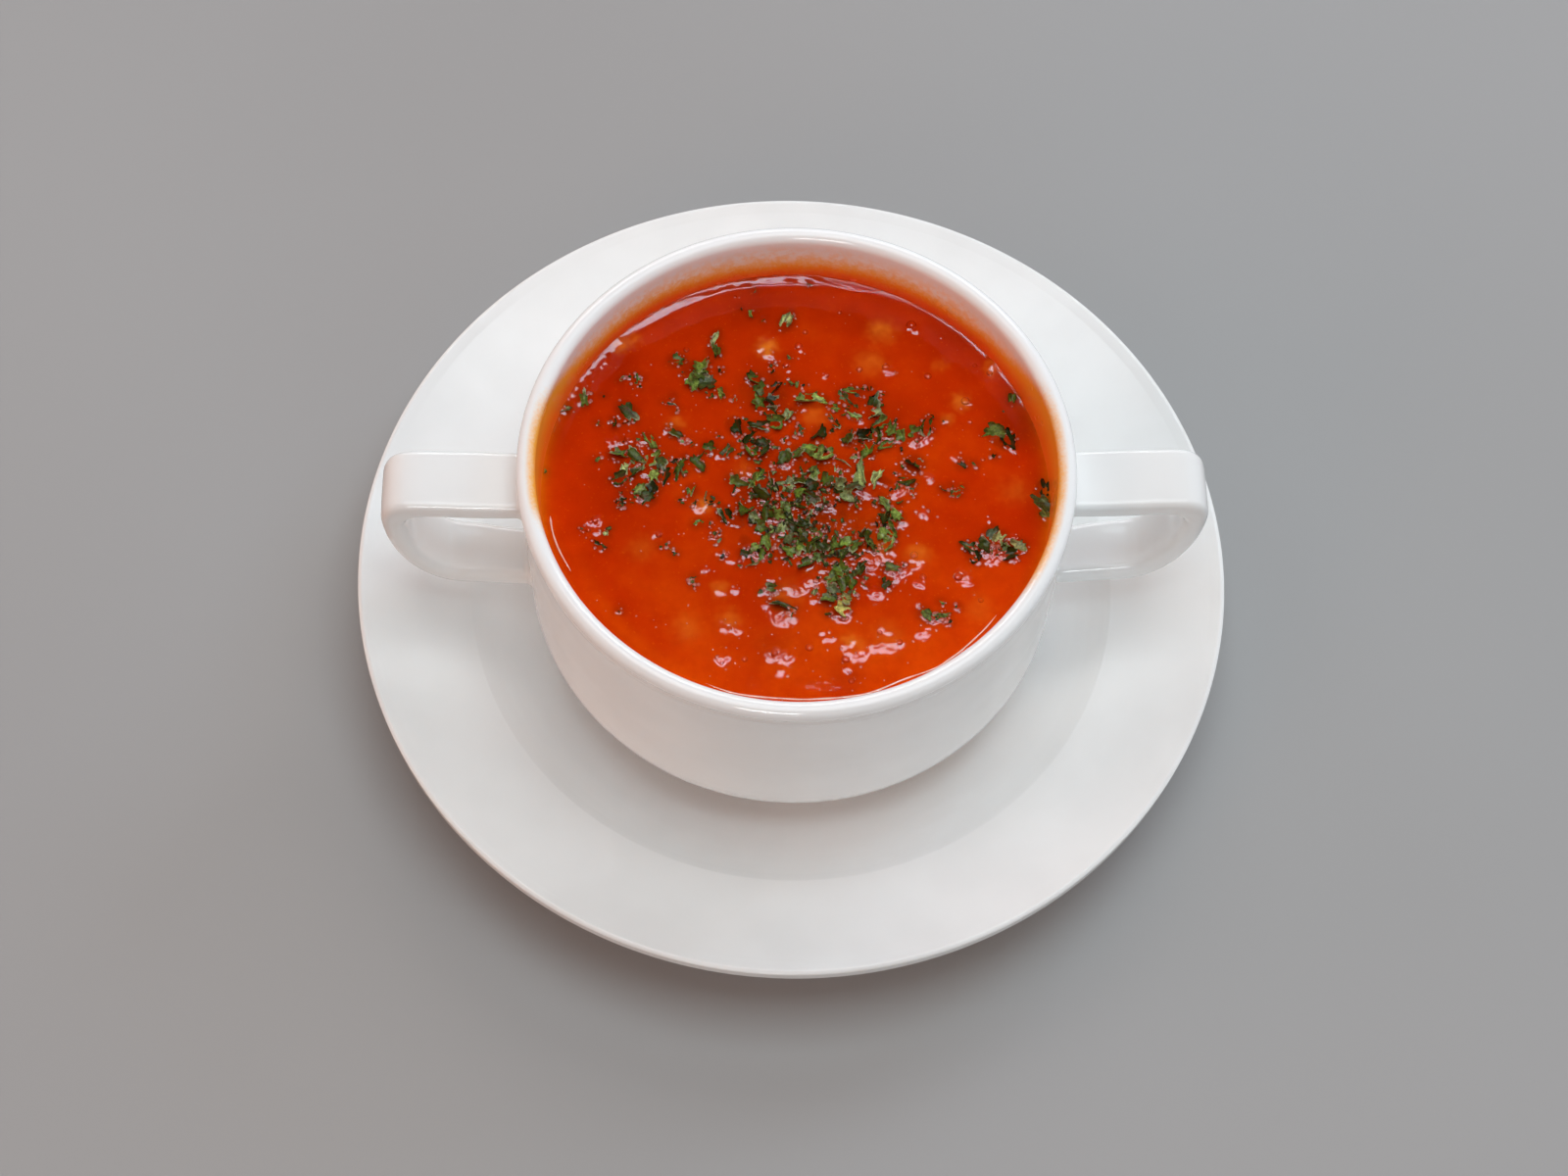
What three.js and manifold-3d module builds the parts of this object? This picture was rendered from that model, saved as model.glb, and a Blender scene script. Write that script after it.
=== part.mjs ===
// Tomato soup in a two-handled porcelain soup cup on its saucer.
// Millimetres, +Z up. The origin is the centre of the saucer's foot, on the table.
// The handles lie along X.
import * as THREE from 'three';
import { mergeVertices } from 'three/addons/utils/BufferGeometryUtils.js';
import Module from 'manifold-3d';

const wasm = await Module();
wasm.setup();

// ---------------------------------------------------------------- driving sizes
const SEG = 60;                 // facets round every turned piece
const GAP = 0.3;                // clearance between pieces that touch

// saucer
const SAUCER_R = 82.5;          // outer radius
const SAUCER_H = 21.0;          // height of the lip
const LIP_R = 0.95;             // radius of the thin raised lip
const EDGE_T = 3.8;             // depth of the outer edge under the lip
const WELL_R = 61.8;            // where the flat rim breaks into the well
const WELL_EDGE_Z = 12.4;       // height of that break
const FLOOR_R = 40.0;           // the level floor of the well
const FLOOR_Z = 6.0;
const SAUCER_T = 4.2;           // wall of the saucer
const SAUCER_FOOT_R = 47.0;     // outside of the foot ring
const SAUCER_FOOT_W = 3.6;      // width of the foot ring

// cup
const CUP_Z = FLOOR_Z + GAP;    // underside of the cup's foot
const RIM_Z = 60.1;             // top of the rim
const RIM_R = 49.9;             // outside of the rolled rim
const RIM_W = 3.4;              // width of the rolled rim
const BODY_R = 49.65;           // widest point of the body
const HEEL_R = 14.2;            // radius of the rounded heel of the body
const HEEL_Z = 22.9;            // height of its centre
const CUP_FOOT_R = 30.0;
const CUP_FOOT_W = 3.4;
const CUP_FOOT_H = 2.4;
const INNER_TOP_R = 46.5;      // inside radius just under the rim
const INNER_LEVEL_R = 46.1;     // inside radius at the soup's level
const INNER_HEEL_R = 11.8;
const INNER_HEEL_Z = 25.2;
const INNER_FLOOR_Z = 13.3;

// soup
const SOUP_Z = 47.9;            // level of the soup
const MENISCUS_H = 1.1;         // how far it climbs the wall
const MENISCUS_W = 3.0;

// handles
const HANDLE_W = 12.2;          // width of the strap
const HANDLE_T = 4.3;           // thickness of the upper strap
const HANDLE_REACH = 74.9;      // outermost point, from the axis
const HANDLE_TOP_Z = 52.3;      // top of the strap where it leaves the body
const HANDLE_RISE = 1.2;        // it climbs this much to the outer corner
const HANDLE_CORNER = 5.0;      // outer corner radius
const EAR_Z = 45.2;             // height of the widest point of the ear
const EAR_A = 13.6;             // half axes of the ear's outer quarter ellipse
const EAR_B = 23.3;
const EAR_IN_A = 8.7;           // and of its inner one
const EAR_IN_B = 17.5;
const HANDLE_ROOT_X = 47.5;     // the strap's ends are sunk in the wall to here
const HANDLE_ROUND = 1.3;       // rounding of the strap's edges
const HANDLE_TAPER = 0.15;      // the lower end is this much narrower

// ---------------------------------------------------------------- helpers
const V = (x, y) => new THREE.Vector2(x, y);
const smooth = (t) => { const u = Math.min(1, Math.max(0, t)); return u * u * (3 - 2 * u); };

// points of an arc, angles in degrees
function arc(cx, cy, rx, ry, a0, a1, n, skipFirst = false) {
  const out = [];
  for (let i = skipFirst ? 1 : 0; i <= n; i++) {
    const a = THREE.MathUtils.degToRad(a0 + (a1 - a0) * i / n);
    out.push(V(cx + rx * Math.cos(a), cy + ry * Math.sin(a)));
  }
  return out;
}

// a closed, position-only solid from any closed geometry
function solid(geometry) {
  const g = geometry.clone();
  for (const name of Object.keys(g.attributes)) if (name !== 'position') g.deleteAttribute(name);
  const m = mergeVertices(g, 1e-3);
  const index = m.index.array;
  const tris = [];
  for (let i = 0; i < index.length; i += 3) {
    const [a, b, c] = [index[i], index[i + 1], index[i + 2]];
    if (a !== b && b !== c && c !== a) tris.push(a, b, c);
  }
  return new wasm.Manifold(new wasm.Mesh({
    numProp: 3,
    vertProperties: new Float32Array(m.attributes.position.array),
    triVerts: new Uint32Array(tris),
  }));
}

function geometryOf(manifold) {
  const m = manifold.getMesh();
  const g = new THREE.BufferGeometry();
  g.setAttribute('position', new THREE.BufferAttribute(new Float32Array(m.vertProperties), 3));
  g.setIndex(new THREE.BufferAttribute(new Uint32Array(m.triVerts), 1));
  g.computeVertexNormals();
  return g;
}

// a turned solid: profile of (radius, height) from the axis underneath to the axis on top
function turned(profile) {
  const g = new THREE.LatheGeometry(profile, SEG);
  g.rotateX(Math.PI / 2);
  return g;
}

// ---------------------------------------------------------------- saucer
function saucerProfile() {
  const foot = SAUCER_FOOT_R;
  const lipC = V(SAUCER_R - 0.05 - LIP_R, SAUCER_H - LIP_R);
  const rimInner = V(SAUCER_R - 2 * LIP_R - 0.3, SAUCER_H - 1.25);
  const under = (p) => V(p.x + 0.6, p.y - SAUCER_T);
  return [
    V(0, FLOOR_Z - SAUCER_T),
    V(foot - SAUCER_FOOT_W - 1.4, FLOOR_Z - SAUCER_T),
    V(foot - SAUCER_FOOT_W, 0.5),
    V(foot - SAUCER_FOOT_W + 0.4, 0),
    V(foot - 0.4, 0),
    V(foot, 0.5),
    V(foot + 1.1, 3.3),
    V(WELL_R - 5.4, 6.5),
    under(V(WELL_R, WELL_EDGE_Z)),
    under(V(WELL_R + 9.5, WELL_EDGE_Z + 3.1)),
    V(SAUCER_R - 1.9, SAUCER_H - EDGE_T - 0.4),
    V(SAUCER_R - 0.5, SAUCER_H - EDGE_T + 0.3),
    V(SAUCER_R, SAUCER_H - EDGE_T + 1.5),
    ...arc(lipC.x, lipC.y, LIP_R, LIP_R, 0, 150, 4),
    rimInner,
    V(WELL_R + 0.8, WELL_EDGE_Z + 0.25),
    V(WELL_R - 0.6, WELL_EDGE_Z - 0.45),
    V(WELL_R - 4.8, WELL_EDGE_Z - 3.3),
    V(WELL_R - 10.0, FLOOR_Z + 1.75),
    V(WELL_R - 15.5, FLOOR_Z + 0.45),
    V(FLOOR_R, FLOOR_Z),
    V(0, FLOOR_Z),
  ];
}

// ---------------------------------------------------------------- cup
// the inside of the cup, from the wall under the rim down to the axis
function innerProfile(inset) {
  return [
    V(INNER_TOP_R - inset, RIM_Z - 2.2),
    V(INNER_LEVEL_R - inset, SOUP_Z),
    V(INNER_LEVEL_R - 0.35 - inset, SOUP_Z - 12),
    ...arc(INNER_LEVEL_R - 0.6 - INNER_HEEL_R, INNER_HEEL_Z, INNER_HEEL_R - inset, INNER_HEEL_R - inset, 0, -90, 4),
    V(0, INNER_FLOOR_Z + inset),
  ];
}

function cupProfile() {
  const footIn = CUP_FOOT_R - CUP_FOOT_W;
  return [
    V(0, CUP_Z + CUP_FOOT_H),
    V(footIn - 0.8, CUP_Z + CUP_FOOT_H),
    V(footIn, CUP_Z + 0.4),
    V(footIn + 0.5, CUP_Z),
    V(CUP_FOOT_R - 0.5, CUP_Z),
    V(CUP_FOOT_R, CUP_Z + 0.4),
    V(CUP_FOOT_R + 0.7, CUP_Z + 2.05),
    ...arc(BODY_R - HEEL_R, HEEL_Z, HEEL_R, HEEL_R, -86, 0, 6),
    V(BODY_R - 0.05, 36.0),
    V(BODY_R - 0.3, 49.0),
    V(RIM_R - 0.45, RIM_Z - 5.6),              // thin ridge under the rim
    V(RIM_R - 0.8, RIM_Z - 3.9),               // groove under the roll
    V(RIM_R - 0.1, RIM_Z - 2.9),
    ...arc(RIM_R - RIM_W / 2, RIM_Z - 1.6, RIM_W / 2, 1.6, 0, 180, 5),
    ...innerProfile(0),
  ];
}

// the outline of one handle in the X-Z plane, right side of the cup
function handleShape() {
  const topAt = (x) => HANDLE_TOP_Z + HANDLE_RISE * (x - 50) / 20;
  const c = HANDLE_CORNER;
  const out = [];
  // upper face, outward, then the outer corner
  out.push(V(HANDLE_ROOT_X, topAt(50)), V(51.0, topAt(51)), V(60.0, topAt(60)));
  const cornerC = V(HANDLE_REACH - c, topAt(HANDLE_REACH - c) - c);
  out.push(...arc(cornerC.x, cornerC.y, c, c, 88, 4, 5));
  // outer quarter ellipse of the ear, then back to the body
  out.push(...arc(HANDLE_REACH - EAR_A, EAR_Z, EAR_A, EAR_B, 0, -90, 8));
  out.push(V(56.0, EAR_Z - EAR_B - 1.3), V(52.6, EAR_Z - EAR_B - 2.4), V(50.8, EAR_Z - EAR_B - 4.0), V(HANDLE_ROOT_X, EAR_Z - EAR_B - 5.0));
  // inner outline, from the body outward
  const inX = HANDLE_REACH - HANDLE_T;
  const inLow = EAR_Z - 0.6 - EAR_IN_B;
  out.push(V(HANDLE_ROOT_X, inLow - 1.9), V(50.8, inLow - 2.4), V(54.0, inLow - 2.35), V(57.4, inLow - 1.1));
  out.push(...arc(inX - EAR_IN_A, EAR_Z - 0.6, EAR_IN_A, EAR_IN_B, -90, 0, 7));
  const u = topAt(66) - HANDLE_T;
  out.push(...arc(inX - 2.8, u - 2.8, 2.8, 2.8, 12, 90, 3));
  out.push(V(54.0, topAt(54) - HANDLE_T), V(50.8, topAt(50) - HANDLE_T - 0.9), V(HANDLE_ROOT_X, topAt(50) - HANDLE_T - 1.6));
  return new THREE.Shape(out);
}

function handle(side) {
  const depth = HANDLE_W - 2 * HANDLE_ROUND;
  const g = new THREE.ExtrudeGeometry(handleShape(), {
    depth, steps: 1, curveSegments: 1,
    bevelEnabled: true, bevelSegments: 2, bevelThickness: HANDLE_ROUND, bevelSize: HANDLE_ROUND, bevelOffset: -HANDLE_ROUND,
  });
  g.translate(0, 0, -depth / 2);
  g.rotateX(Math.PI / 2);
  // the lower end narrows towards the body
  const p = g.attributes.position;
  for (let i = 0; i < p.count; i++) {
    const low = smooth((36 - p.getZ(i)) / 6);
    const near = smooth((65 - p.getX(i)) / 12);
    p.setY(i, p.getY(i) * (1 - HANDLE_TAPER * low * near));
  }
  if (side < 0) g.rotateZ(Math.PI);
  return g;
}

// ---------------------------------------------------------------- soup
// lumps just under the surface: [x, y, radius, height]
const LUMPS = [
  [-6.0, 25.5, 4.2, 0.45], [16.5, 28.0, 4.6, 0.40], [31.0, 17.5, 3.6, 0.45], [-27.5, 22.5, 4.8, 0.35],
  [1.5, -19.5, 6.5, 0.50], [12.0, -27.0, 5.5, 0.45], [-14.0, -24.0, 4.6, 0.35], [21.0, -20.0, 4.8, 0.40],
  [-18.0, 2.5, 4.0, 0.35], [22.0, -9.5, 4.4, 0.35], [33.0, 6.0, 3.8, 0.30], [-4.5, -34.0, 4.4, 0.40],
  [-31.0, -9.0, 5.0, 0.30], [4.0, 6.0, 7.5, 0.45], [14.0, 13.0, 5.5, 0.30], [-12.0, 14.0, 5.0, 0.30],
];

function relief(x, y) {
  let z = 0.10 * Math.sin(0.21 * x + 1.1) * Math.cos(0.17 * y - 0.6) + 0.06 * Math.sin(0.38 * x - 0.31 * y);
  for (const [lx, ly, r, h] of LUMPS) z += h * smooth(1 - Math.hypot(x - lx, y - ly) / r);
  return z;
}

function soup() {
  const inner = innerProfile(GAP).filter((p) => p.y < SOUP_Z - 1).reverse();   // axis to wall
  const wallR = INNER_LEVEL_R - GAP + 0.05;
  const top = [V(wallR + 0.03, SOUP_Z + MENISCUS_H)];
  for (const t of [0.3, 0.65, 1.0]) {
    top.push(V(wallR - MENISCUS_W * t, SOUP_Z + MENISCUS_H * (1 - t) ** 3));
  }
  for (let k = 1; k <= 5; k++) top.push(V((wallR - MENISCUS_W) * (1 - k / 6), SOUP_Z));
  top.push(V(0, SOUP_Z));
  const g = turned([...inner, V(wallR - 0.03, SOUP_Z), ...top]);
  const p = g.attributes.position;
  for (let i = 0; i < p.count; i++) {
    const [x, y, z] = [p.getX(i), p.getY(i), p.getZ(i)];
    const r = Math.hypot(x, y);
    if (z > SOUP_Z - 0.01 && r < wallR - 0.2) p.setZ(i, z + relief(x, y) * smooth((wallR - r) / 4));
  }
  return g;
}

// ---------------------------------------------------------------- scene graph
const porcelain = () => new THREE.MeshStandardMaterial({ color: 0xeeedeb, roughness: 0.12, metalness: 0 });
const tomato = () => new THREE.MeshStandardMaterial({ color: 0xc63a08, roughness: 0.25, metalness: 0 });

const group = new THREE.Group();
function place(name, manifold, material) {
  const mesh = new THREE.Mesh(geometryOf(manifold), material);
  mesh.name = name;
  group.add(mesh);
}

place('saucer', solid(turned(saucerProfile())), porcelain());
place('soup_cup', solid(turned(cupProfile())).add(solid(handle(1))).add(solid(handle(-1))), porcelain());
place('tomato_soup', solid(soup()), tomato());

export default group;
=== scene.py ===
# Tomato soup with dried parsley in a two-handled porcelain soup cup, on its saucer.
# Metres in Blender; the numbers below are millimetres unless they say otherwise.
import math
import bpy
import numpy as np
from mathutils import Matrix


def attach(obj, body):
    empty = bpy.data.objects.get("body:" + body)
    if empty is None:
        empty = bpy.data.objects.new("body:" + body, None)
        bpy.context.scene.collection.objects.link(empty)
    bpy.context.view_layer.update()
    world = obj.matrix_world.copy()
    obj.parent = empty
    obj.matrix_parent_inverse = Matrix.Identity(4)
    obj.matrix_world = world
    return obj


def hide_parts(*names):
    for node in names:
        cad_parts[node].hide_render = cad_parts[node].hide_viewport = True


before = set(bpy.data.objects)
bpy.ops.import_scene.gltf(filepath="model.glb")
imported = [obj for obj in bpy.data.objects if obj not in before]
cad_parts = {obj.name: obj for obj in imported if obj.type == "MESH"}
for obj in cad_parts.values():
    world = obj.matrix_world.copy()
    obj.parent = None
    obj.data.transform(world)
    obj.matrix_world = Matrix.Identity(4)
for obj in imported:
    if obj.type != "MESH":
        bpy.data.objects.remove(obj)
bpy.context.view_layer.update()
MM = 0.001

# ------------------------------------------------------------------ camera
CAM_DIST, CAM_EL, CAM_AZ, CAM_ROLL = 500.0, 63.59, -3.10, 2.56
FOCAL_PX = 2685.0                       # focal length in pixels of the 1600 x 1200 frame
TARGET = np.array([-1.66, -5.74, 20.0])


def camera_axes():
    e, a, r = math.radians(CAM_EL), math.radians(CAM_AZ), math.radians(CAM_ROLL)
    back = np.array([math.sin(a) * math.cos(e), -math.cos(a) * math.cos(e), math.sin(e)])
    right = np.cross(-back, [0, 0, 1.0])
    right /= np.linalg.norm(right)
    up = np.cross(right, -back)
    return (right * math.cos(r) + up * math.sin(r), -right * math.sin(r) + up * math.cos(r), back)


CR, CU, CB = camera_axes()
CPOS = TARGET + CAM_DIST * CB
cam_data = bpy.data.cameras.new("camera")
cam_data.sensor_fit = "HORIZONTAL"
cam_data.sensor_width = 36.0
cam_data.lens = FOCAL_PX / 1600 * 36.0
cam_data.clip_start = 0.01
camera = bpy.data.objects.new("camera", cam_data)
camera.matrix_world = Matrix([[*map(float, row)] for row in np.column_stack([CR, CU, CB, CPOS * MM])] + [[0, 0, 0, 1]])
bpy.context.scene.collection.objects.link(camera)
bpy.context.scene.camera = camera


def at(px, py, z):
    """The point at height z that is seen at that pixel of the 1600 x 1200 frame."""
    d = -CB + (px - 800) / FOCAL_PX * CR - (py - 600) / FOCAL_PX * CU
    return CPOS + (z - CPOS[2]) / d[2] * d


# ------------------------------------------------------------------ noise and mesh helpers
def noise2(x, y, seed=0):
    """Gradient noise, about -0.7 to 0.7, one cell to a unit."""
    x, y = np.asarray(x, float), np.asarray(y, float)
    xi, yi = np.floor(x).astype(np.int64), np.floor(y).astype(np.int64)
    xf, yf = x - xi, y - yi

    def corner(dx, dy):
        h = ((xi + dx) * 374761393 + (yi + dy) * 668265263 + seed * 97463477) & 0xFFFFFFFF
        h = ((h ^ (h >> 13)) * 1274126177) & 0xFFFFFFFF
        a = ((h ^ (h >> 16)) & 0xFFFFFF) / 2 ** 24 * 2 * np.pi
        return np.cos(a) * (xf - dx) + np.sin(a) * (yf - dy)

    u, v = xf ** 3 * (xf * (xf * 6 - 15) + 10), yf ** 3 * (yf * (yf * 6 - 15) + 10)
    lo = corner(0, 0) * (1 - u) + corner(1, 0) * u
    hi = corner(0, 1) * (1 - u) + corner(1, 1) * u
    return lo * (1 - v) + hi * v


def smooth(t):
    t = np.clip(t, 0, 1)
    return t * t * (3 - 2 * t)


def make_mesh(name, verts, faces, material, colours=None, values=None):
    """verts in mm, faces a list of index lists; colours and values are written on the points."""
    me = bpy.data.meshes.new(name)
    verts = np.asarray(verts, float) * MM
    sizes = np.fromiter((len(f) for f in faces), int, len(faces))
    loops = np.concatenate([np.asarray(f, np.int64) for f in faces])
    me.vertices.add(len(verts))
    me.vertices.foreach_set("co", verts.ravel())
    me.loops.add(len(loops))
    me.loops.foreach_set("vertex_index", loops.astype(np.int32))
    me.polygons.add(len(faces))
    me.polygons.foreach_set("loop_start", np.concatenate([[0], np.cumsum(sizes)[:-1]]).astype(np.int32))
    me.update(calc_edges=True)
    me.validate()
    if colours is not None:
        layer = me.color_attributes.new("tint", "FLOAT_COLOR", "POINT")
        rgba = np.ones((len(verts), 4))
        rgba[:, :3] = colours
        layer.data.foreach_set("color", rgba.ravel())
    for key, value in (values or {}).items():
        me.attributes.new(key, "FLOAT", "POINT").data.foreach_set("value", np.asarray(value, np.float32))
    me.polygons.foreach_set("use_smooth", np.ones(len(me.polygons), bool))
    me.materials.append(material)
    ob = bpy.data.objects.new(name, me)
    bpy.context.scene.collection.objects.link(ob)
    return ob


def turn(profile, seg):
    """A closed turned body from a profile of (radius, height), from the axis underneath to the axis on top."""
    verts, faces, rings = [], [], []
    ang = np.arange(seg) / seg * 2 * np.pi
    for r, z in profile:
        if r < 1e-6:
            rings.append([len(verts)])
            verts.append((0, 0, z))
        else:
            rings.append(list(range(len(verts), len(verts) + seg)))
            verts.extend(zip(r * np.cos(ang), r * np.sin(ang), [z] * seg))
    for a, b in zip(rings[:-1], rings[1:]):
        for i in range(seg):
            j = (i + 1) % seg
            if len(a) == 1:
                faces.append([a[0], b[j], b[i]])
            elif len(b) == 1:
                faces.append([a[i], a[j], b[0]])
            else:
                faces.append([a[i], a[j], b[j], b[i]])
    return np.array(verts), faces


def rounded(points, step=2.0, arc_step=9.0):
    """A smooth profile: each point is (r, z) or (r, z, fillet radius). Long straights are cut to the given step."""
    pts = [(p[0], p[1], p[2] if len(p) > 2 else 0.0) for p in points]
    out = [np.array(pts[0][:2], float)]
    for i in range(1, len(pts) - 1):
        p0, p, p1 = (np.array(pts[i + k][:2], float) for k in (-1, 0, 1))
        rad = pts[i][2]
        a, b = p0 - p, p1 - p
        la, lb = np.linalg.norm(a), np.linalg.norm(b)
        a, b = a / la, b / lb
        cosang = float(np.clip(a @ b, -1, 1))
        turn_by = math.pi - math.acos(cosang)
        if rad <= 0 or turn_by < 0.01:
            out.append(p)
            continue
        t = min(rad * math.tan(turn_by / 2), 0.49 * la, 0.49 * lb)
        rad = t / math.tan(turn_by / 2)
        s, e = p + a * t, p + b * t
        bis = (a + b) / np.linalg.norm(a + b)
        c = p + bis * math.hypot(rad, t)
        a0 = math.atan2(*(s - c)[::-1])
        a1 = math.atan2(*(e - c)[::-1])
        d = (a1 - a0 + math.pi) % (2 * math.pi) - math.pi
        n = max(2, int(abs(math.degrees(d)) / arc_step) + 1)
        out.extend(c + rad * np.array([math.cos(a0 + d * k / n), math.sin(a0 + d * k / n)]) for k in range(n + 1))
    out.append(np.array(pts[-1][:2], float))
    fine = [out[0]]
    for p, q in zip(out[:-1], out[1:]):
        n = max(1, int(np.linalg.norm(q - p) / step))
        fine.extend(p + (q - p) * k / n for k in range(1, n + 1))
    fine = np.array(fine)
    keep = np.concatenate([[True], np.linalg.norm(np.diff(fine, axis=0), axis=1) > 1e-4])
    return fine[keep]


def spline(points, n):
    """Catmull-Rom through the rows of points, n pieces to a span."""
    p = np.asarray(points, float)
    p = np.vstack([2 * p[0] - p[1], p, 2 * p[-1] - p[-2]])
    out = []
    for i in range(1, len(p) - 2):
        for k in range(n):
            t = k / n
            out.append(0.5 * (2 * p[i] + (p[i + 1] - p[i - 1]) * t + (2 * p[i - 1] - 5 * p[i] + 4 * p[i + 1] - p[i + 2]) * t * t
                              + (3 * p[i] - p[i - 1] - 3 * p[i + 1] + p[i + 2]) * t ** 3))
    out.append(p[-2])
    return np.array(out)


# ------------------------------------------------------------------ node helpers
class Nodes:
    def __init__(self, name):
        self.mat = bpy.data.materials.new(name)
        self.mat.use_nodes = True
        self.nt = self.mat.node_tree
        self.bsdf = self.nt.nodes["Principled BSDF"]

    def new(self, kind, **inputs):
        n = self.nt.nodes.new(kind)
        for key, value in inputs.items():
            self.put(n.inputs[key.replace("_", " ")] if isinstance(key, str) else n.inputs[key], value)
        return n

    def put(self, socket, value):
        if isinstance(value, bpy.types.NodeSocket):
            self.nt.links.new(value, socket)
        else:
            socket.default_value = value

    def math(self, op, a, b=0.0, clamp=False):
        n = self.nt.nodes.new("ShaderNodeMath")
        n.operation, n.use_clamp = op, clamp
        self.put(n.inputs[0], a)
        self.put(n.inputs[1], b)
        return n.outputs[0]

    def ramp(self, value, lo, hi, to_lo=0.0, to_hi=1.0, kind="SMOOTHSTEP"):
        n = self.nt.nodes.new("ShaderNodeMapRange")
        n.interpolation_type = kind
        for k, v in zip(("Value", "From Min", "From Max", "To Min", "To Max"), (value, lo, hi, to_lo, to_hi)):
            self.put(n.inputs[k], v)
        return n.outputs["Result"]

    def mix(self, fac, a, b, blend="MIX"):
        n = self.nt.nodes.new("ShaderNodeMix")
        n.data_type, n.blend_type = "RGBA", blend
        self.put(n.inputs["Factor"], fac)
        self.put(n.inputs["A"], a)
        self.put(n.inputs["B"], b)
        return n.outputs["Result"]

    def noise(self, coord, scale, detail=3.0, rough=0.5):
        n = self.nt.nodes.new("ShaderNodeTexNoise")
        self.put(n.inputs["Vector"], coord)
        n.inputs["Scale"].default_value = scale
        n.inputs["Detail"].default_value = detail
        n.inputs["Roughness"].default_value = rough
        return n.outputs["Fac"]

    def coord(self):
        return self.nt.nodes.new("ShaderNodeTexCoord").outputs["Object"]

    def bump(self, height, distance, strength=1.0):
        n = self.nt.nodes.new("ShaderNodeBump")
        n.inputs["Strength"].default_value = strength
        n.inputs["Distance"].default_value = distance
        self.put(n.inputs["Height"], height)
        self.nt.links.new(n.outputs["Normal"], self.bsdf.inputs["Normal"])


def rgb(r, g, b):
    """An sRGB colour, 0 to 255, as linear RGBA."""
    def lin(c):
        c /= 255
        return c / 12.92 if c <= 0.04045 else ((c + 0.055) / 1.055) ** 2.4
    return (lin(r), lin(g), lin(b), 1.0)


def porcelain(name, film=False, gloss=(0.07, 0.12)):
    m = Nodes(name)
    co = m.coord()
    cloud = m.noise(co, 55, 2.0)
    base = m.mix(m.ramp(cloud, 0.35, 0.65), rgb(242, 242, 241), rgb(246, 246, 245))
    rough = m.ramp(m.noise(co, 160, 3.0), 0.3, 0.7, *gloss)
    if film:
        # soup that has run back down the wall, above the level of the soup
        sep = m.nt.nodes.new("ShaderNodeSeparateXYZ")
        m.put(sep.inputs[0], co)
        x, y, z = sep.outputs
        radius = m.math("SQRT", m.math("ADD", m.math("MULTIPLY", x, x), m.math("MULTIPLY", y, y)))
        above = m.math("SUBTRACT", z, SOUP_Z * MM)
        inside = m.math("MULTIPLY", m.ramp(radius, 0.0485, 0.0474), m.ramp(above, -0.0030, -0.0015))
        front = m.math("DIVIDE", y, m.math("MAXIMUM", radius, 0.001))     # 1 at the back wall, -1 at the front
        skew = m.math("ADD", front, m.math("MULTIPLY", m.math("DIVIDE", x, m.math("MAXIMUM", radius, 0.001)), 0.16))
        up = m.math("MULTIPLY", above, m.ramp(skew, -0.88, -0.30, 1.8, 1.0))    # it stays low at the front
        wave = m.noise(co, 90, 3.0, 0.55)
        fine = m.noise(co, 700, 4.0, 0.6)
        side = m.ramp(front, 0.02, 0.80)                                  # 1 at the back, 0 at the sides
        # painted light: the glaze in a band round the rim is painted whiter than the rest
        base = m.mix(m.ramp(above, 0.0088, 0.0105), base, rgb(251, 251, 251))
        top = m.ramp(side, 0, 1, 0.0134, 0.0114)
        top = m.math("ADD", top, m.math("MULTIPLY", m.math("SUBTRACT", wave, 0.5), 0.0040))
        share = m.math("DIVIDE", up, top)
        veil = m.math("MULTIPLY", m.ramp(share, 0.40, 0.98, 1.0, 0.0), m.ramp(fine, 0.28, 0.58, 0.70, 1.0))
        veil = m.math("MULTIPLY", veil, inside, clamp=True)
        tan = m.mix(m.ramp(fine, 0.36, 0.62), rgb(254, 236, 218), rgb(255, 200, 136))
        tan = m.mix(side, rgb(255, 206, 160), tan)
        base = m.mix(m.math("MULTIPLY", veil, 0.88), base, tan)
        grain = m.noise(co, 1900, 2.0)
        edge = m.math("ADD", up, m.math("MULTIPLY", m.math("SUBTRACT", wave, 0.5), 0.0022))
        edge = m.math("ADD", edge, m.math("MULTIPLY", m.math("SUBTRACT", grain, 0.5), 0.0016))
        low = m.math("MULTIPLY", m.ramp(edge, m.ramp(side, 0, 1, 0.0138, 0.0074), m.ramp(side, 0, 1, 0.0106, 0.0030)), inside, clamp=True)
        # the wet film, painted lighter and more orange at the sides than at the back: painted light on the side walls
        wet_film_and_painted_light = m.mix(m.ramp(edge, 0.0008, m.ramp(side, 0, 1, 0.0112, 0.0056)), m.mix(side, rgb(255, 122, 0), rgb(248, 86, 0)), m.mix(side, rgb(255, 178, 46), rgb(255, 176, 40)))
        base = m.mix(m.math("MULTIPLY", low, 0.97), base, wet_film_and_painted_light)
        rough = m.math("ADD", rough, m.math("MULTIPLY", m.math("MAXIMUM", low, veil), 0.16))
    m.put(m.bsdf.inputs["Base Color"], base)
    m.put(m.bsdf.inputs["Roughness"], rough)
    m.bsdf.inputs["IOR"].default_value = 1.38
    m.bump(m.noise(co, 70, 1.0), 0.00006)
    return m.mat


# ------------------------------------------------------------------ sizes
SAUCER_R, SAUCER_H, LIP_R, EDGE_T = 82.5, 21.0, 0.95, 3.8
WELL_R, WELL_EDGE_Z, FLOOR_R, FLOOR_Z, SAUCER_T = 61.8, 12.4, 40.0, 6.0, 4.2
CUP_Z, RIM_Z, RIM_R, RIM_W = 6.3, 60.05, 49.9, 3.4
BODY_R, HEEL_R, HEEL_Z = 49.65, 14.2, 22.9
INNER_TOP_R, INNER_LEVEL_R, INNER_HEEL_R, INNER_HEEL_Z, INNER_FLOOR_Z = 46.5, 46.1, 11.8, 25.2, 13.3
SOUP_Z = 47.9

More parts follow.
